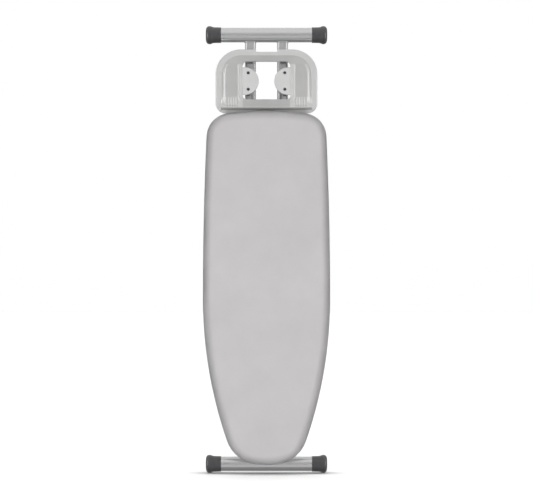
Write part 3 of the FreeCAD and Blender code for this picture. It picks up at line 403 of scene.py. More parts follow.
def top_outline(count, iterations):
    """Points spaced evenly round the top's edge, from the nose anti-clockwise seen from the front.

    Returns the points as (x, z), the outward normals and the spacing. They come from the panel,
    which is flat and lies a little inside the edge."""
    low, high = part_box("top_panel")
    vertices = np.array([v.co for v in NODES["top_panel"].data.vertices])
    edge = vertices[vertices[:, 1] < low.y + 1e-5][:, (0, 2)]
    middle = np.array([0.0, (low.z + high.z) / 2])
    turn = np.arctan2(edge[:, 0] - middle[0], -(edge[:, 1] - middle[1]))
    edge = edge[np.argsort(turn % (2 * math.pi))]
    keep = [0]
    for i in range(1, len(edge)):
        if np.linalg.norm(edge[i] - edge[keep[-1]]) > 1e-4:
            keep.append(i)
    edge = edge[keep]
    edge = np.vstack([edge, edge[:1]])
    run = np.concatenate([[0], np.cumsum(np.linalg.norm(np.diff(edge, axis=0), axis=1))])
    even = np.linspace(0, run[-1], count, endpoint=False)
    points = np.stack([np.interp(even, run, edge[:, 0]), np.interp(even, run, edge[:, 1])], 1)
    for _ in range(iterations):
        points = (np.roll(points, 1, 0) + 2 * points + np.roll(points, -1, 0)) / 4
    # The two halves are made mirror images, so that they can be joined on the middle line.
    points = (points + points[-np.arange(count) % count] * (-1, 1)) / 2
    along = np.roll(points, -1, 0) - np.roll(points, 1, 0)
    along /= np.linalg.norm(along, axis=1)[:, None]
    normals = np.stack([along[:, 1], -along[:, 0]], 1)
    return points + normals * PANEL_INSET, normals, run[-1] / count


def bend_of(normals, step):
    """How tightly the outline turns at each point, 0 on a straight side and 1 at BEND_RADIUS."""
    cross = normals[:, 0] * np.roll(normals[:, 1], -1) - normals[:, 1] * np.roll(normals[:, 0], -1)
    bend = np.abs(cross) / step * BEND_RADIUS
    for _ in range(60):
        bend = (np.roll(bend, 1) + 2 * bend + np.roll(bend, -1)) / 4
    return np.clip(bend, 0, 1.2)


def spine_of(points):
    """For each outline point, the point of the middle line that it is joined to."""
    low, high = points[:, 1].min() + SPINE_REACH, points[:, 1].max() - SPINE_REACH
    return np.stack([np.zeros(len(points)), np.clip(points[:, 1], low, high)], 1)


def skin_from_rings(name, rings):
    """A mesh of quads between rings of (x, y, z) arrays, welded where rings meet on the middle line."""
    count = len(rings[0])
    points = np.concatenate(rings)
    faces = []
    for k in range(len(rings) - 1):
        faces.extend(ring_faces(k * count, (k + 1) * count, count))
    mesh = mesh_from(name, points, faces)
    work = bmesh.new()
    work.from_mesh(mesh)
    bmesh.ops.remove_doubles(work, verts=work.verts, dist=1e-6)
    bmesh.ops.recalc_face_normals(work, faces=work.faces)
    work.to_mesh(mesh)
    work.free()
    return mesh


def fill_rings(outer, spine, shares, height):
    """Rings from the middle line out to a ring of (x, z) points; height gives y at (x, z)."""
    rings = []
    for share in shares:
        flat = spine + (outer - spine) * share
        rings.append(np.array([(x, height(x, z), z) for x, z in flat]))
    return rings


def ring_at(points, normals, inset, y):
    """The outline moved in by inset, at depth y; both may differ from point to point."""
    flat = points - normals * np.reshape(inset, (-1, 1))
    return np.stack([flat[:, 0], np.broadcast_to(y, len(flat)), flat[:, 1]], 1)


# ---- cover


EDGE_INSET = 30 * MM
EDGE_DEPTH = 21 * MM
EDGE_STEPS = 16
CLOTH = 0.7 * MM
CLOTH_ROOM = 0.2 * MM       # the cloth's outer side stays this far inside the CAD cover's edge
FACE_LEVEL = 0.35 * MM      # and this far behind its front, before the unevenness
REAR_ROUND = 5.5 * MM
REAR_STEPS = 6
HEM_INSET = 23.5 * MM
HEM_STEPS = 7
CASING_RADIUS = 2.0 * MM
CASING_SIDES = 10
FOLD_COUNT = 235
FOLD_LIFT = 0.4 * MM


def edge_profile(inset_full, depth_full, steps):
    """(inset, depth) over the round front edge, from the flat face to the widest point."""
    return [(inset_full * (1 - math.sin(t)), depth_full * (1 - math.cos(t)))
            for t in (math.pi / 2 * i / steps for i in range(steps + 1))]


def make_cover():
    """Cotton cover: taut over the face, round over the padded edge, gathered behind by its elastic."""
    points, normals, step = top_outline(OUTLINE_POINTS, 12)
    bend = bend_of(normals, step)
    front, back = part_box("cover")[0].y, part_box("cover")[1].y
    run = np.arange(OUTLINE_POINTS) * step
    # Folds: their spacing wanders, and they are deepest where the edge turns tightly.
    spacing = np.array([1 + 0.35 * wander(s, 9.0, 1.7) for s in run])
    phase = np.cumsum(spacing)
    phase *= 2 * math.pi * FOLD_COUNT / phase[-1]
    depth_of = np.array([0.75 + 0.5 * wander(s, 23.0, 5.1) for s in run])
    fold = depth_of * (np.sin(phase) + 0.35 * np.sin(2 * phase + 1.3))
    # The hem lies flat at the heel, where the rest's straps pass close behind it.
    heel = points[:, 1].max()
    calm = np.array([1 - 0.7 * step_up(z, heel - 0.06, heel - 0.02) for z in points[:, 1]])
    fold_size = (0.55 + 0.75 * bend) * calm * MM
    crease = np.array([wander(s, 60.0, 8.4) + 0.5 * wander(s, 130.0, 3.3) for s in run])

    def face(x, z):
        soft = noise.noise(Vector((x * 7, z * 5, 2.0))) + 0.4 * noise.noise(Vector((x * 19, z * 15, 7.0)))
        return front + FACE_LEVEL + 0.22 * soft * MM

    inner = points - normals * EDGE_INSET
    spine = spine_of(points)
    rings = fill_rings(inner, spine, (0.0, 0.12, 0.25, 0.38, 0.5, 0.62, 0.73, 0.83, 0.92), face)
    face_y = np.array([face(x, z) for x, z in inner])
    rings.append(ring_at(points, normals, EDGE_INSET, face_y))
    for inset, depth in edge_profile(EDGE_INSET, EDGE_DEPTH, EDGE_STEPS)[1:]:
        share = depth / EDGE_DEPTH
        ripple = crease * (0.12 + 0.2 * bend) * MM * math.sin(math.pi * min(1.0, share))
        y = front + (face_y - front) * (1 - share) + depth
        rings.append(ring_at(points, normals, inset + ripple + CLOTH_ROOM, y))
    # Round the rear edge, then in behind the rim.
    turn_depth = back - front - EDGE_DEPTH
    for i in range(1, REAR_STEPS + 1):
        share = i / REAR_STEPS
        t = math.pi / 2 * share
        y = front + EDGE_DEPTH + turn_depth * math.sin(t) + fold * fold_size * 0.25 * share
        rings.append(ring_at(points, normals, REAR_ROUND * (1 - math.cos(t)) + CLOTH_ROOM, y))
    lifted = np.maximum(fold, 0) * FOLD_LIFT
    for i in range(1, HEM_STEPS + 1):
        share = i / HEM_STEPS
        inset = REAR_ROUND + (HEM_INSET - REAR_ROUND) * share + CLOTH_ROOM
        grow = 0.25 + 0.75 * share
        stitched = -0.5 * MM if i == HEM_STEPS - 1 else 0.0
        y = back + 0.5 * MM * share + fold * fold_size * grow + stitched + lifted * share
        rings.append(ring_at(points, normals, inset + 0.3 * MM * share * crease, y))
    # The casing of the elastic is a roll along the hem.
    centre_y = back + 0.5 * MM + fold * fold_size + lifted + CASING_RADIUS * 0.4
    centre_inset = HEM_INSET + CASING_RADIUS + CLOTH_ROOM
    swell = CASING_RADIUS * (0.75 + 0.25 * calm) * (1 + 0.18 * calm * np.sin(phase + 0.6))
    for i in range(CASING_SIDES):
        t = math.radians(205 - i * 33)
        rings.append(ring_at(points, normals, centre_inset + swell * math.cos(t),
                             centre_y + swell * math.sin(t)))
    mesh = skin_from_rings("cover_cloth_piece", rings)
    cover = add_object("cover_cloth_piece", mesh, MATERIALS["cover_cloth"])
    modify(cover, "SOLIDIFY", thickness=CLOTH, offset=-1)
    apply_modifiers(cover)
    paint_faces(cover, (MATERIALS["cover_cloth"], MATERIALS["hem_cloth"]),
                lambda c, n: 1 if c.y > back - 2.5 * MM else 0)
    finish_piece(cover, "table", "cover_cloth", "cover")
    # The cut reaches past the outline by the front edge's arc, the rear's, the hem and its casing.
    wrapped = 36 * MM + 10 * MM + (HEM_INSET - REAR_ROUND) + 12 * MM - EDGE_INSET
    following = np.roll(points, -1, 0)
    shoelace = abs((points[:, 0] * following[:, 1] - points[:, 1] * following[:, 0]).sum()) / 2
    perimeter = step * OUTLINE_POINTS
    area = shoelace + perimeter * wrapped + math.pi * wrapped ** 2
    size = points.max(0) - points.min(0) + 2 * wrapped
    return cover, size, area


def paint_faces(piece, materials, choose):
    """Give each face one of the materials, chosen by its centre and normal."""
    piece.data.materials.clear()
    for material in materials:
        piece.data.materials.append(material)
    for polygon in piece.data.polygons:
        polygon.material_index = choose(polygon.center, polygon.normal)
        polygon.use_smooth = True


# ---- felt pad and metal panel


PAD_POINTS = 600
UNDER_CLOTH = 0.9 * MM      # how far the felt lies under the cloth round the edge
PAD_LEVEL = 0.75 * MM       # and behind the CAD pad's front


def make_pad():
    """Felt underlay: it follows the cover's round edge and wraps round the rim."""
    points, normals, step = top_outline(PAD_POINTS, 6)
    low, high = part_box("foam_pad")
    front = low.y + PAD_LEVEL
    panel_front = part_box("top_panel")[0].y
    spine = spine_of(points)
    rings = fill_rings(points - normals * EDGE_INSET, spine, (0.0, 0.5), lambda x, z: front)
    for inset, depth in edge_profile(EDGE_INSET - UNDER_CLOTH, EDGE_DEPTH - UNDER_CLOTH, 10):
        rings.append(ring_at(points, normals, inset + UNDER_CLOTH + 0.5 * MM, front + depth))
    fuzz = np.array([wander(i * step, 35.0, 11.0) for i in range(PAD_POINTS)]) * 0.6 * MM
    for inset, y in ((2.0 * MM, high.y - 0.8 * MM + fuzz), (3.6 * MM, high.y - 0.3 * MM + fuzz),
                     (PANEL_INSET - 0.3 * MM, high.y - 0.9 * MM + fuzz),
                     (PANEL_INSET - 0.1 * MM, panel_front + 0.5 * MM),
                     (PANEL_INSET + 0.6 * MM, panel_front)):
        rings.append(ring_at(points, normals, inset, y))
    back_ring = points - normals * (PANEL_INSET + 10 * MM)
    rings += fill_rings(back_ring, spine, (1.0, 0.5, 0.0), lambda x, z: panel_front)
    mesh = skin_from_rings("felt_pad", rings)
    pad = add_object("felt_pad", mesh, MATERIALS["foam"])
    finish_piece(pad, "table", "foam", "foam_pad")
    return pad


MESH_LONG = 25 * MM
MESH_SHORT = 11.5 * MM
STRAND = 1.9 * MM
STRAND_TURN = 0.25 * MM


def make_expanded_panel():
    """Expanded metal: diamonds in staggered rows, the strands turned slightly out of the sheet."""
    points, normals, _ = top_outline(600, 4)
    low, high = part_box("top_panel")
    middle_y = (low.y + high.y) / 2
    tree = KDTree(len(points))
    for i, (x, z) in enumerate(points):
        tree.insert((x, 0, z), i)
    tree.balance()

    def held_in(x, z):
        """The point, moved in where it is nearer the edge than the panel reaches."""
        _, i, _ = tree.find((x, 0, z))
        inset = float(np.dot(points[i] - (x, z), normals[i]))
        short = max(0.0, PANEL_INSET + 0.8 * MM - inset)
        return x - normals[i][0] * short, z - normals[i][1] * short, inset

    vertices, numbers, faces = [], {}, []

    def vertex(x, z, y):
        key = (round(x, 6), round(z, 6), round(y, 6))
        if key not in numbers:
            numbers[key] = len(vertices)
            hx, hz, _ = held_in(x, z)
            vertices.append((hx, y, hz))
        return numbers[key]

    tips = [(0, -MESH_LONG / 2), (MESH_SHORT / 2, 0), (0, MESH_LONG / 2), (-MESH_SHORT / 2, 0)]
    diamond = []
    for k, (tx, tz) in enumerate(tips):
        nx, nz = tips[(k + 1) % 4]
        diamond += [(tx, tz), ((tx + nx) / 2, (tz + nz) / 2)]
    hole_x, hole_z = MESH_SHORT / 2 - STRAND * 0.62, MESH_LONG / 2 - STRAND * 1.6
    # An opening's corners as (x, z, way the strand there turns out of the sheet).
    opening = [(0, -hole_z, 0), (hole_x * 0.62, -hole_z * 0.42, 1), (hole_x, 0, 1),
               (hole_x * 0.62, hole_z * 0.42, 1), (0, hole_z, 0), (-hole_x * 0.62, hole_z * 0.42, -1),
               (-hole_x, 0, -1), (-hole_x * 0.62, -hole_z * 0.42, -1)]
    rows = int((high.z - low.z) / (MESH_LONG / 2)) + 2
    columns = int((high.x - low.x) / MESH_SHORT / 2) + 2
    for row in range(rows):
        for column in range(-columns, columns + 1):
            cx = (column + (row % 2) / 2) * MESH_SHORT
            cz = low.z + row * MESH_LONG / 2
            if held_in(cx, cz)[2] < PANEL_INSET + 4 * MM:
                continue
            a = [vertex(cx + x, cz + z, middle_y) for x, z in diamond]
            b = [vertex(cx + x, cz + z, middle_y + way * STRAND_TURN) for x, z, way in opening]
            for k in range(8):
                j = (k + 1) % 8
                faces.append((a[k], b[k], b[j], a[j]))
    mesh = mesh_from("expanded_panel", vertices, faces)
    panel = add_object("expanded_panel", mesh, MATERIALS["grey_paint"], smooth=False)
    modify(panel, "SOLIDIFY", thickness=0.5 * MM, offset=0)
    apply_modifiers(panel)
    finish_piece(panel, "table", "grey_paint", "top_panel")


# ---- iron rest


def rounded_rect_distance(x, z, box, radii):
    """Signed distance into a rectangle with its low and high corner radii."""
    x0, x1, z0, z1 = box
    radius = radii[1] if z > (z0 + z1) / 2 else radii[0]
    dx = abs(x - (x0 + x1) / 2) - (x1 - x0) / 2 + radius
    dz = abs(z - (z0 + z1) / 2) - (z1 - z0) / 2 + radius
    outside = math.hypot(max(dx, 0), max(dz, 0))
    return radius - outside - min(max(dx, dz), 0)


def hump(value, centre, half):
    """A smooth bump, 1 at its centre and 0 at half its width away."""
    t = abs(value - centre) / half
    return 0.0 if t >= 1 else (1 - t * t) ** 2


# The rest is worked out in mm. Boxes are (low x, high x, low z, high z), radii (low, high corners).
REST_FRONT = -37.5
REST_FLOOR = 4.0
REST_RADII = (34, 85)
WINDOW = (-81, 81, 1269, 1397)
WINDOW_RADII = (14, 14)
APRON_TOP = 1243            # the sloped apron lies below this height
RIB_PITCH = 8.6
RIB_MIDDLE = 103            # the first rib's distance from the middle line
RIBS_FROM, RIBS_TO, RIBS_TOP = 98, 138, 1276


def rib_wave(x):
    return math.cos(2 * math.pi * (abs(x) - RIB_MIDDLE) / RIB_PITCH)


def rest_depth(x, z, edge, window):
    """How far the moulding's front lies behind its rim, from the distances to its edge and window.

    outer is the rim's step with the bead and the ridge inside it, inner the steps by the window."""
    outer = (3.2 * step_up(edge, 19, 22) - 0.4 * hump(edge, 18.2, 1.8)
             + 0.8 * step_up(edge, 33, 36) - 3.8 * hump(edge, 29, 4.2) * step_up(1384 - z, 0, 16)
             - 1.1 * hump(edge, 39, 2.2))
    inner = (1.7 * hump(window, 7.8, 3.0) + (REST_FLOOR - 0.1) * step_up(window, 13.5, 17)
             - 0.3 * hump(window, 12.2, 2.2) - 0.3 * hump(window, 3.2, 2.6))
    side = step_up(abs(x), 76, 84)
    top = 1 - step_up(z, 1370, 1402)
    low = min(1.0, max(0.0, (z - APRON_TOP) / 34))
    arch = 1.1 * step_up(edge, 19, 24) * step_up(z, 1350, 1380) * step_up(abs(x), 40, 62)
    depth = max(min(outer, inner) * side * top * low, arch)
    ribbed = (side * step_up(abs(x), RIBS_FROM, RIBS_FROM + 3) * step_up(RIBS_TO - abs(x), 0, 3)
              * step_up(z, APRON_TOP + 1, APRON_TOP + 5) * (1 - step_up(z, RIBS_TOP - 4, RIBS_TOP)))
    band = 1.3 * min(1.0, max(0.0, (1262 - z) / 18)) ** 2
    return depth - 1.3 * max(0.0, rib_wave(x)) ** 2 * ribbed + band


def make_iron_rest():
    """Moulded rest: the CAD moulding with soft edges, a stepped rim, two ridges and fine ribs."""
    low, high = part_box("iron_rest")
    rest = copy_of("iron_rest", "iron_rest_moulding")
    modify(rest, "REMESH", mode="VOXEL", voxel_size=1.2 * MM)
    modify(rest, "SMOOTH", factor=0.5, iterations=4)
    apply_modifiers(rest)
    outline = (low.x / MM, high.x / MM, low.z / MM, high.z / MM)

    def distances(x, z):
        """How far a point lies in from the moulding's edge and out from its window."""
        return (rounded_rect_distance(x, z, outline, REST_RADII),
                -rounded_rect_distance(x, z, WINDOW, WINDOW_RADII))

    moved, crease = [], []
    for vertex in rest.data.vertices:
        x, y, z = vertex.co / MM
        if 1231 < z < 1250 and y < -18:
            crease.append(vertex.index)
        edge, window = distances(x, z)
        beside_tubes = abs(x) < 44 and edge < 14
        if y > REST_FRONT + 5.6 or z < APRON_TOP or edge < 3.5 or window < 1.2 or beside_tubes:
            continue
        share = step_up(edge, 3.5, 6) * step_up(window, 1.2, 3) * step_up(z, APRON_TOP, APRON_TOP + 4)
        vertex.co.y += share * (REST_FRONT + rest_depth(x, z, edge, window) - y) * MM
        moved.append(vertex.index)
    rest.vertex_groups.new(name="front").add(moved, 1.0, "REPLACE")
    rest.vertex_groups.new(name="crease").add(crease, 1.0, "REPLACE")
    modify(rest, "SMOOTH", factor=0.5, iterations=14, vertex_group="crease")
    modify(rest, "SMOOTH", factor=0.5, iterations=2, vertex_group="front")
    modify(rest, "DECIMATE", ratio=0.5)
    apply_modifiers(rest)
    # Zones of painted shade and painted light: plain plastic, shaded plastic, lit lugs, and the darkest shade
    # along the lower edge.
    plastic, floor, lug, apron = range(4)

    def zone(centre, normal):
        """Which material a face has: painted shade darkens the strip along the lower edge, the recess floors,
        the rib grooves, the top band and the middle, and painted light lightens the lugs, beside the rim's
        plain plastic.
        """
        x, _, z = centre / MM
        if z < APRON_TOP - 1.5 and abs(x) < 154 and normal.y < 0.3:
            return apron if z < APRON_TOP - 5.5 else floor
        if normal.y > -0.6:
            return plastic
        edge, window = distances(x, z)
        if window < -0.5:
            return lug
        if edge < 20.5 or z < APRON_TOP:
            return plastic
        if z > 1388 or abs(x) < 80:
            return floor
        if z < RIBS_TOP and RIBS_FROM < abs(x) < RIBS_TO:
            return floor if rib_wave(x) < 0.2 else plastic
        return floor if window > 16 and z > RIBS_TOP + 1 and not 25.5 < edge < 32 else plastic

    paint_faces(rest, [MATERIALS[name] for name in ("light_plastic", "rest_shaded_plastic", "rest_lug_lit_plastic", "rest_apron_shaded_plastic")],
                zone)
    finish_piece(rest, "table", "light_plastic", "iron_rest")


# ---- turned and swept pieces


def lathe(name, profile, place, axis, material, segments):
    """A closed solid turned from (along the axis, radius) points in mm; the axis is a unit vector."""
    axis = Vector(axis)
    side = axis.orthogonal().normalized()
    other = axis.cross(side)
    work = bmesh.new()
    rings = []
    for along, radius in profile:
        centre = Vector(place) + axis * (along * MM)
        if radius == 0:
            rings.append([work.verts.new(centre)])
            continue
        turns = [2 * math.pi * i / segments for i in range(segments)]
        rings.append([work.verts.new(centre + (side * math.cos(t) + other * math.sin(t)) * (radius * MM))
                      for t in turns])
    for a, b in zip(rings, rings[1:]):
        for i in range(segments):
            j = (i + 1) % segments
            corners = [a[i % len(a)], a[j % len(a)], b[j % len(b)], b[i % len(b)]]
            unique = list(dict.fromkeys(corners))
            if len(unique) > 2:
                work.faces.new(unique)
    bmesh.ops.recalc_face_normals(work, faces=work.faces)
    piece = add_object(name, mesh_of(work, name), material)
    smooth_by_angle(piece, 40)
    return piece


def sweep(path, radii, sides, closed=False):
    """Points and faces of a tube along a path, with a radius for each point."""
    path = [Vector(p) for p in path]
    count = len(path)
    points, faces = [], []
    frame_side = None
    for i, here in enumerate(path):
        before = path[i - 1] if i or closed else here
        after = path[(i + 1) % count] if i + 1 < count or closed else here
        along = (after - before).normalized()
        if frame_side is None:
            frame_side = along.orthogonal().normalized()
        frame_side = (frame_side - along * frame_side.dot(along)).normalized()
        other = along.cross(frame_side)
        for k in range(sides):
            t = 2 * math.pi * k / sides
            points.append(here + (frame_side * math.cos(t) + other * math.sin(t)) * radii[i])
    for i in range(count if closed else count - 1):
        faces.extend(ring_faces(i * sides, (i + 1) % count * sides, sides))
    if not closed:
        faces.append(tuple(reversed(range(sides))))
        faces.append(tuple(range((count - 1) * sides, count * sides)))
    return points, faces


# The end cap's section, from its closed end, with its thin inner wall last.
CAP_PROFILE = [
    (0.0, 0.0), (0.1, 12.0), (0.6, 19.5), (2.2, 24.6), (4.8, 28.0), (8.4, 30.2), (12.6, 31.0), (16.8, 30.5),
    (20.6, 29.0), (24.0, 27.7), (28.0, 27.0), (36.0, 26.7), (46.5, 26.6), (47.2, 26.1), (48.0, 26.1),
    (48.7, 26.6), (51.2, 26.8), (51.9, 26.4), (52.0, 25.7), (51.8, 24.8), (44.0, 24.8), (3.2, 24.8),
    (3.0, 0.0),
]


def make_foot_caps():
    """Rubber end caps: a sleeve over the tube that swells into a round foot."""
    caps = {}
    for leg in ("outer", "inner"):
        for side, way in (("left", 1), ("right", -1)):
            node = "%s_foot_cap_%s" % (leg, side)
            low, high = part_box(node)
            end = low.x if way > 0 else high.x
            cap = lathe(node + "_rubber", CAP_PROFILE, (end, (low.y + high.y) / 2, (low.z + high.z) / 2),
                        (way, 0, 0), MATERIALS["dark_plastic"], 96)
            finish_piece(cap, leg + "_leg", "dark_plastic", node)
            caps[node] = cap
    return caps


SCREW_HEAD = 4.8
SCREW_SIDES = 24
# (depth from the head's top, radius, 1 where the section is the socket's hexagon), in mm
SCREW_PROFILE = ((22.0, 2.3, 0), (21.7, 2.5, 0), (3.0, 2.5, 0), (3.0, 4.6, 0), (2.8, SCREW_HEAD, 0),
                 (0.7, SCREW_HEAD, 0), (0.2, 4.5, 0), (0.0, 4.0, 0), (0.0, 2.3, 1), (0.25, 2.15, 1),
                 (2.1, 2.1, 1))


def make_rest_screws():
    """Four socket screws sunk in the lugs."""
    low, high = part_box("rest_screws")
    work = bmesh.new()
    turns = [2 * math.pi * i / SCREW_SIDES for i in range(SCREW_SIDES)]
    hexagon = [1 / math.cos((t + math.pi / 6) % (math.pi / 3) - math.pi / 6) for t in turns]
    for x in (low.x + SCREW_HEAD * MM, high.x - SCREW_HEAD * MM):
        for z in (low.z + SCREW_HEAD * MM, high.z - SCREW_HEAD * MM):
            rings = []
            for along, radius, six in SCREW_PROFILE:
                reach = [radius * MM * (corner if six else 1) for corner in hexagon]
                rings.append([work.verts.new((x + r * math.cos(t), low.y + along * MM, z + r * math.sin(t)))
                              for r, t in zip(reach, turns)])
            for a, b in zip(rings, rings[1:]):
                for i in range(SCREW_SIDES):
                    j = (i + 1) % SCREW_SIDES
                    work.faces.new((a[i], a[j], b[j], b[i]))
            work.faces.new(rings[0])
            work.faces.new(list(reversed(rings[-1])))
    bmesh.ops.recalc_face_normals(work, faces=work.faces)
    screws = add_object("socket_screws", mesh_of(work, "socket_screws"), MATERIALS["dark_steel"])
    smooth_by_angle(screws, 35)
    finish_piece(screws, "table", "bright_steel", "rest_screws")


RIVET_DOME = [(0.0, 4.5), (0.35, 4.45), (0.8, 3.9), (1.15, 2.9), (1.4, 1.6), (1.5, 0.0)]
# (distance from the middle line, depth, height, shank that shows) of the right half's rivets, in mm
RIVETS = ((41.1, -22.5, 858.5, 0.0), (41.1, -22.5, 1162.0, 0.0), (57.6, -21.3, 1163.0, 3.0))


def make_rivets():
    """Domed rivet heads on the rails and on the rest's straps."""
    made = []
    for side in (-1, 1):
        for x, y, z, shank in RIVETS:
            foot = [(-shank, 0.0), (-shank, 2.5), (0.0, 2.5)] if shank else [(0.0, 0.0)]
            made.append(lathe("rivet_part", foot + RIVET_DOME, (side * x * MM, y * MM, z * MM), (0, 1, 0),
                              MATERIALS["bright_steel"], 24))
    rivets = join_pieces("domed_rivets", made)
    finish_piece(rivets, "table", "bright_steel", "rivets")


def join_pieces(name, pieces):
    """One object from several, with the first one's material."""
    work = bmesh.new()
    for piece in pieces:
        work.from_mesh(piece.data)
    material = pieces[0].data.materials[0]
    for piece in pieces:
        bpy.data.objects.remove(piece)
    joined = add_object(name, mesh_of(work, name), material)
    smooth_by_angle(joined, 40)
    return joined


def flat_oval(x, y, width, depth, count):
    """Points round a flat-oval section: two half circles joined by straight sides."""
    radius = depth / 2
    straight = width - depth
    length = 2 * straight + 2 * math.pi * radius
    points = []
    for i in range(count):
        s = length * i / count
        for sign in (1, -1):
            if s < straight:
                points.append((x + sign * (-straight / 2 + s), y - sign * radius))
                break
            s -= straight
            if s < math.pi * radius:
                t = -math.pi / 2 + s / radius
                points.append((x + sign * (straight / 2 + radius * math.cos(t)),
                               y + sign * radius * math.sin(t)))
                break
            s -= math.pi * radius
    return points


WELD_POINTS = 170
WELD_GAP = 0.5 * MM


def make_welds():
    """A rippled weld bead round each leg tube, where it is coped onto its foot tube."""
    for tube, foot, body in (("outer_leg_tube_left", "outer_foot_tube", "outer_leg"),
                             ("outer_leg_tube_right", "outer_foot_tube", "outer_leg"),
                             ("inner_leg_tube", "inner_foot_tube", "inner_leg")):
        low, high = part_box(tube)
        foot_low, foot_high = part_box(foot)
        radius = (foot_high.z - foot_low.z) / 2
        foot_y, foot_z = (foot_low.y + foot_high.y) / 2, (foot_low.z + foot_high.z) / 2
        way = -1 if body == "outer_leg" else 1
        section = flat_oval((low.x + high.x) / 2, (low.y + high.y) / 2, high.x - low.x + 2 * WELD_GAP,
                            high.y - low.y + 2 * WELD_GAP, WELD_POINTS)
        path = [(x, y, foot_z + way * (math.sqrt(radius ** 2 - (y - foot_y) ** 2) + WELD_GAP))
                for x, y in section]
        radii = [(1.75 + 0.22 * math.sin(i * 1.9) + 0.3 * wander(i * 0.11, 1.0, 4.0)) * MM
                 for i in range(WELD_POINTS)]
        points, faces = sweep(path, radii, 8, closed=True)
        bead = add_object(tube + "_weld", mesh_from(tube + "_weld", points, faces), MATERIALS["silver_paint"])
        finish_piece(bead, body, "silver_paint")


def make_spring():
    """Torsion spring on the lever's shaft, with an arm to each side."""
    low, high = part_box("lever_spring")
    y, z = (low.y + high.y) / 2, (low.z + high.z) / 2
    wire, coil, turns, steps = 0.95 * MM, 4.95 * MM, 9, 20
    first = low.x + wire
    path = [(first, y - 8 * MM, z + coil - 0.4 * MM), (first, y - 5 * MM, z + coil - 0.2 * MM)]
    for i in range(turns * steps + 1):
        t = 2 * math.pi * i / steps
        path.append((first + (high.x - low.x - 2 * wire) * i / (turns * steps),
                     y + coil * math.sin(t), z + coil * math.cos(t)))
    path.append((high.x - wire, y + 4.5 * MM, z + coil))
    points, faces = sweep(path, [wire] * len(path), 8)
    spring = add_object("lever_spring_wire", mesh_from("lever_spring_wire", points, faces),
                        MATERIALS["dark_steel"])
    finish_piece(spring, "table", "bright_steel", "lever_spring")


FINGER_WAVES = 4
FINGER_DEPTH = 0.9 * MM


def make_grip():
    """Moulded grip of the height lever, with shallow finger waves."""
    low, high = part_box("lever_grip")
    grip = copy_of("lever_grip", "lever_grip_moulding")
    modify(grip, "REMESH", mode="VOXEL", voxel_size=1.3 * MM)
    modify(grip, "SMOOTH", factor=0.5, iterations=14)
    apply_modifiers(grip)
    centre_x = (low.x + high.x) / 2
    for vertex in grip.data.vertices:
        share = (vertex.co.z - low.z) / (high.z - low.z)
        held = step_up(share, 0.05, 0.15) * (1 - step_up(share, 0.62, 0.72))
        waist = 1 - 0.10 * math.sin(math.pi * min(1.0, share / 0.75)) ** 2
        vertex.co.x = centre_x + (vertex.co.x - centre_x) * waist
        vertex.co.y += FINGER_DEPTH * math.sin(share * 2 * math.pi * FINGER_WAVES + 0.8) * held
    shade_smooth(grip.data)
    paint(grip, MATERIALS["black_plastic"])
    finish_piece(grip, BODY_OF["lever_grip"], "black_plastic", "lever_grip")


# ---- steel and plastic parts with worked edges


STRAP_LIP = 2.0
STRAP_EDGE_DEPTH = 3.4
# (across from the strap's outer side, across to, height from, height to) of the returned edges, in mm; their
# near-black paint is painted shade
STRAP_EDGES = ((0.0, 22.0, 1391.6, 1394.0), (0.0, STRAP_LIP, 1371.0, 1391.6),
               (0.0, 12.0, 1281.5, 1284.0), (0.0, STRAP_LIP, 1252.0, 1281.5), (18.6, 20.6, 1252.0, 1286.0))


def make_strap_shade_edges():
    """Returned edges on the rest's steel straps, above and below the lugs, in a near-black paint that is
    painted shade: they stand for the dark shade line round the straps.
    """
    for name, side in (("left", -1), ("right", 1)):
        low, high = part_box("rest_bracket_" + name)
        outer = high.x if side > 0 else low.x
        middle_y = high.y - 4.6 * MM
        work = bmesh.new()
        for across, to, z_low, z_high in STRAP_EDGES:
            for vertex in bmesh.ops.create_cube(work, size=1.0)["verts"]:
                share = vertex.co.x + 0.5
                vertex.co = Vector((outer - side * (across + (to - across) * share) * MM,
                                    middle_y + vertex.co.y * STRAP_EDGE_DEPTH * MM,
                                    (z_low + (z_high - z_low) * (vertex.co.z + 0.5)) * MM))
        bmesh.ops.bevel(work, geom=list(work.edges), offset=0.4 * MM, segments=2, affect="EDGES")
        bmesh.ops.recalc_face_normals(work, faces=work.faces)
        label = "strap_shade_edges_" + name
        edges = add_object(label, mesh_of(work, label), MATERIALS["strap_edge_shade_paint"])
        smooth_by_angle(edges, 40)
        finish_piece(edges, "table", "bright_steel")


# The width of each part's broken edges, in mm.
BEVELS = {
    "rim_frame": 0.6, "cross_bar_nose": 0.9, "cross_bar_middle": 0.9, "cross_bar_heel": 0.9,
    "slide_rail_left": 0.7, "slide_rail_right": 0.7, "hinge_bracket_left": 0.7, "hinge_bracket_right": 0.7,
    "hinge_pin_left": 0.7, "hinge_pin_right": 0.7, "lever_bracket_inner": 0.6, "lever_bracket_outer": 0.6,
    "rest_bracket_left": 0.6, "rest_bracket_right": 0.6, "cross_bolt": 0.8, "cross_nut": 0.6,
    "cross_washers": 0.4, "rest_nuts": 0.5,
    "cross_spacer_left": 0.6, "cross_spacer_right": 0.6, "slide_yoke": 0.6, "slide_axle": 0.5,
    "slide_block_left": 1.2, "slide_block_right": 1.2, "toothed_bar": 0.5, "pawl": 0.5, "lever_shaft": 0.5,
    "tube_end_plug_left": 0.9, "tube_end_plug_right": 0.9,
}


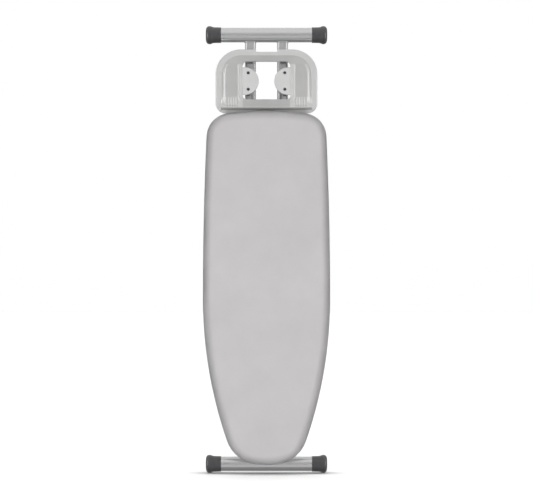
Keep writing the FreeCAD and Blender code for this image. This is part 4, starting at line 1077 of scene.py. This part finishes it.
def make_worked_parts():
    """The other parts keep their CAD shape, with broken edges that catch the light."""
    for node, width in BEVELS.items():
        part = copy_of(node, node + "_worked")
        work = bmesh.new()
        work.from_mesh(part.data)
        bmesh.ops.remove_doubles(work, verts=work.verts, dist=1e-6)
        bmesh.ops.dissolve_limit(work, angle_limit=math.radians(0.5), verts=work.verts, edges=work.edges)
        work.to_mesh(part.data)
        work.free()
        modify(part, "BEVEL", width=width * MM, segments=2, limit_method="ANGLE",
               angle_limit=math.radians(40), use_clamp_overlap=True)
        apply_modifiers(part)
        paint(part, MATERIALS[SLOT_OF[node]])
        smooth_by_angle(part, 35)
        finish_piece(part, BODY_OF[node], SLOT_OF[node], node)


# ---- stage, lights, camera


# The floor's grey with its painted contact shadow, from fully hidden by what stands on it (0) to open (1).
PAINTED_CONTACT_SHADOW = ((0.0, 0.16), (0.5, 0.36), (0.85, 0.62), (0.97, 0.88), (1.0, 0.91))
CONTACT_SHADOW_REACH = 0.12
FLOOR_HALF = 30


def make_stage():
    """A plain pale floor with a painted contact shadow, which darkens it softly close to what stands on it,
    inside a white dome.
    """
    corners = [(x * FLOOR_HALF, y * FLOOR_HALF, 0) for x, y in ((-1, -1), (1, -1), (1, 1), (-1, 1))]
    floor_mesh = mesh_from("floor", corners, [(0, 1, 2, 3)])
    material, tree, shader = new_material("floor_pale_painted_shadow")
    # Painted shadow: ambient occlusion darkens the floor's colour near what stands on it.
    near = node_of(tree, "ShaderNodeAmbientOcclusion", samples=8)
    near.inputs["Distance"].default_value = CONTACT_SHADOW_REACH
    tree.links.new(grey_stops(tree, near.outputs["AO"], PAINTED_CONTACT_SHADOW), shader.inputs["Base Color"])
    shader.inputs["Roughness"].default_value = 0.9
    floor = add_object("floor", floor_mesh, material, smooth=False)
    bpy.ops.mesh.primitive_uv_sphere_add(segments=48, ring_count=24, radius=38)
    dome = bpy.context.object
    dome.name = "backdrop"
    white = bpy.data.materials.new("backdrop_white")
    white.use_nodes = True
    tree = white.node_tree
    tree.nodes.clear()
    output = node_of(tree, "ShaderNodeOutputMaterial")
    light = node_of(tree, "ShaderNodeEmission")
    light.inputs["Color"].default_value = (1, 1, 1, 1)
    light.inputs["Strength"].default_value = 1.0
    tree.links.new(light.outputs["Emission"], output.inputs["Surface"])
    paint(dome, white)
    dome.visible_transmission = False
    for thing in (floor, dome):
        thing.visible_diffuse = False
        thing.visible_glossy = False
        thing.visible_shadow = False
    return floor


def aim(thing, target):
    direction = Vector(target) - thing.location
    thing.rotation_euler = direction.to_track_quat("-Z", "Y").to_euler()


def add_area(name, place, target, width, height, power):
    data = bpy.data.lights.new(name, "AREA")
    data.shape = "RECTANGLE"
    data.size = width
    data.size_y = height
    data.energy = power
    lamp = linked_object(name, data)
    lamp.location = place
    aim(lamp, target)
    return lamp


def add_sun(name, azimuth, elevation, strength, softness):
    """A distant light, softness degrees wide; azimuth 0 is in front of the board."""
    data = bpy.data.lights.new(name, "SUN")
    data.energy = strength
    data.angle = math.radians(softness)
    lamp = linked_object(name, data)
    a, e = math.radians(azimuth), math.radians(elevation)
    lamp.location = (10 * math.sin(a) * math.cos(e), -10 * math.cos(a) * math.cos(e), 10 * math.sin(e))
    aim(lamp, (0, 0, 0))
    return lamp


# Brightness of the surroundings as reflections see them, from straight down (0) to straight up (1).
SKY = ((0.0, 0.0), (0.07, 0.0), (0.13, 0.3), (0.2, 1.0), (0.32, 0.6), (0.5, 0.16), (0.62, 0.3),
       (0.85, 1.15), (1.0, 1.2))
AMBIENT = 0.19


def make_world():
    """Soft surroundings: an even fill, and for reflections the sky's bright and dim bands."""
    world = bpy.data.worlds.new("studio")
    world.use_nodes = True
    tree = world.node_tree
    tree.nodes.clear()
    coordinates = node_of(tree, "ShaderNodeTexCoord")
    split = node_of(tree, "ShaderNodeSeparateXYZ")
    tree.links.new(coordinates.outputs["Generated"], split.inputs["Vector"])
    height = node_of(tree, "ShaderNodeMapRange")
    height.inputs["From Min"].default_value = -1.0
    height.inputs["From Max"].default_value = 1.0
    tree.links.new(split.outputs["Z"], height.inputs["Value"])
    sky = grey_stops(tree, height.outputs["Result"], SKY)
    reflected, fill = (node_of(tree, "ShaderNodeBackground") for _ in range(2))
    tree.links.new(sky, reflected.inputs["Color"])
    fill.inputs["Color"].default_value = (1, 1, 1, 1)
    fill.inputs["Strength"].default_value = AMBIENT
    rays = node_of(tree, "ShaderNodeLightPath")
    mix = node_of(tree, "ShaderNodeMixShader")
    tree.links.new(rays.outputs["Is Diffuse Ray"], mix.inputs["Fac"])
    tree.links.new(reflected.outputs["Background"], mix.inputs[1])
    tree.links.new(fill.outputs["Background"], mix.inputs[2])
    output = node_of(tree, "ShaderNodeOutputWorld")
    tree.links.new(mix.outputs["Shader"], output.inputs["Surface"])
    bpy.context.scene.world = world


def linked(name, state, pieces):
    """A light-linking collection of these pieces."""
    collection = bpy.data.collections.new(name)
    for i, piece in enumerate(pieces):
        collection.objects.link(piece)
        collection.collection_objects[i].light_linking.link_state = state
    return collection


def link_light(lamp, state, *pieces):
    """The lamp lights only these pieces (INCLUDE), or everything but them (EXCLUDE)."""
    lamp.light_linking.receiver_collection = linked(lamp.name + "_receivers", state, pieces)


CARD_POWER = 420
SHEEN_POWER = 1.84


def make_lights(cover, floor, foot):
    """Soft light from all round; only the foot on the floor stops the floor's own light."""
    front = add_sun("front", 0, 1, 1.98, 30)
    front.visible_glossy = False
    sheen = add_sun("cloth_sheen", 0, 0, SHEEN_POWER, 20)
    sheen.visible_diffuse = False
    link_light(sheen, "INCLUDE", cover)
    overhead = add_sun("overhead", 0, 75, 0.8, 60)
    overhead.visible_glossy = False
    link_light(overhead, "EXCLUDE", cover, floor)
    ceiling = add_sun("ceiling_over_floor", 180, 66, 3.3, 125)
    link_light(ceiling, "INCLUDE", floor)
    ceiling.light_linking.blocker_collection = linked("floor_blockers", "INCLUDE", foot)
    bounce = add_sun("floor_bounce", 0, -55, 0.55, 70)
    bounce.visible_glossy = False
    link_light(bounce, "EXCLUDE", floor)
    behind = add_sun("behind", 180, 30, 1.75, 30)
    behind.visible_glossy = False
    link_light(behind, "EXCLUDE", floor)
    for name, side in (("left_card", -1), ("right_card", 1)):
        card = add_area(name, (side * 7, -2.0, 1.2), (0, 0, 0.8), 4, 5, CARD_POWER)
        card.visible_diffuse = False
        link_light(card, "EXCLUDE", cover)
    bpy.context.scene.view_settings.view_transform = "Standard"
    bpy.context.scene.view_settings.look = "None"


CAMERA_DISTANCE = 12.0
SENSOR = 36                 # mm
VIEW_WIDTH = 1.811          # metres across the picture at the board


def make_camera():
    """Straight in front, half way up, with a long lens: the view has almost no perspective."""
    low, high = cad_box
    data = bpy.data.cameras.new("camera")
    data.sensor_width = SENSOR
    data.lens = SENSOR * CAMERA_DISTANCE / VIEW_WIDTH
    data.clip_end = 200
    camera = linked_object("camera", data)
    camera.location = (0, -CAMERA_DISTANCE, (low[2] + high[2]) / 2)
    camera.rotation_euler = (math.radians(90), 0, 0)
    bpy.context.scene.camera = camera


floor = make_stage()
make_world()
make_camera()
felt = make_pad()
make_expanded_panel()
cover, cover_size, cover_area = make_cover()
make_iron_rest()
caps = make_foot_caps()
make_lights(cover, floor, [NODES["inner_foot_tube"], caps["inner_foot_cap_left"],
                           caps["inner_foot_cap_right"]])
make_rest_screws()
make_rivets()
make_welds()
make_spring()
make_grip()
make_worked_parts()
make_strap_shade_edges()
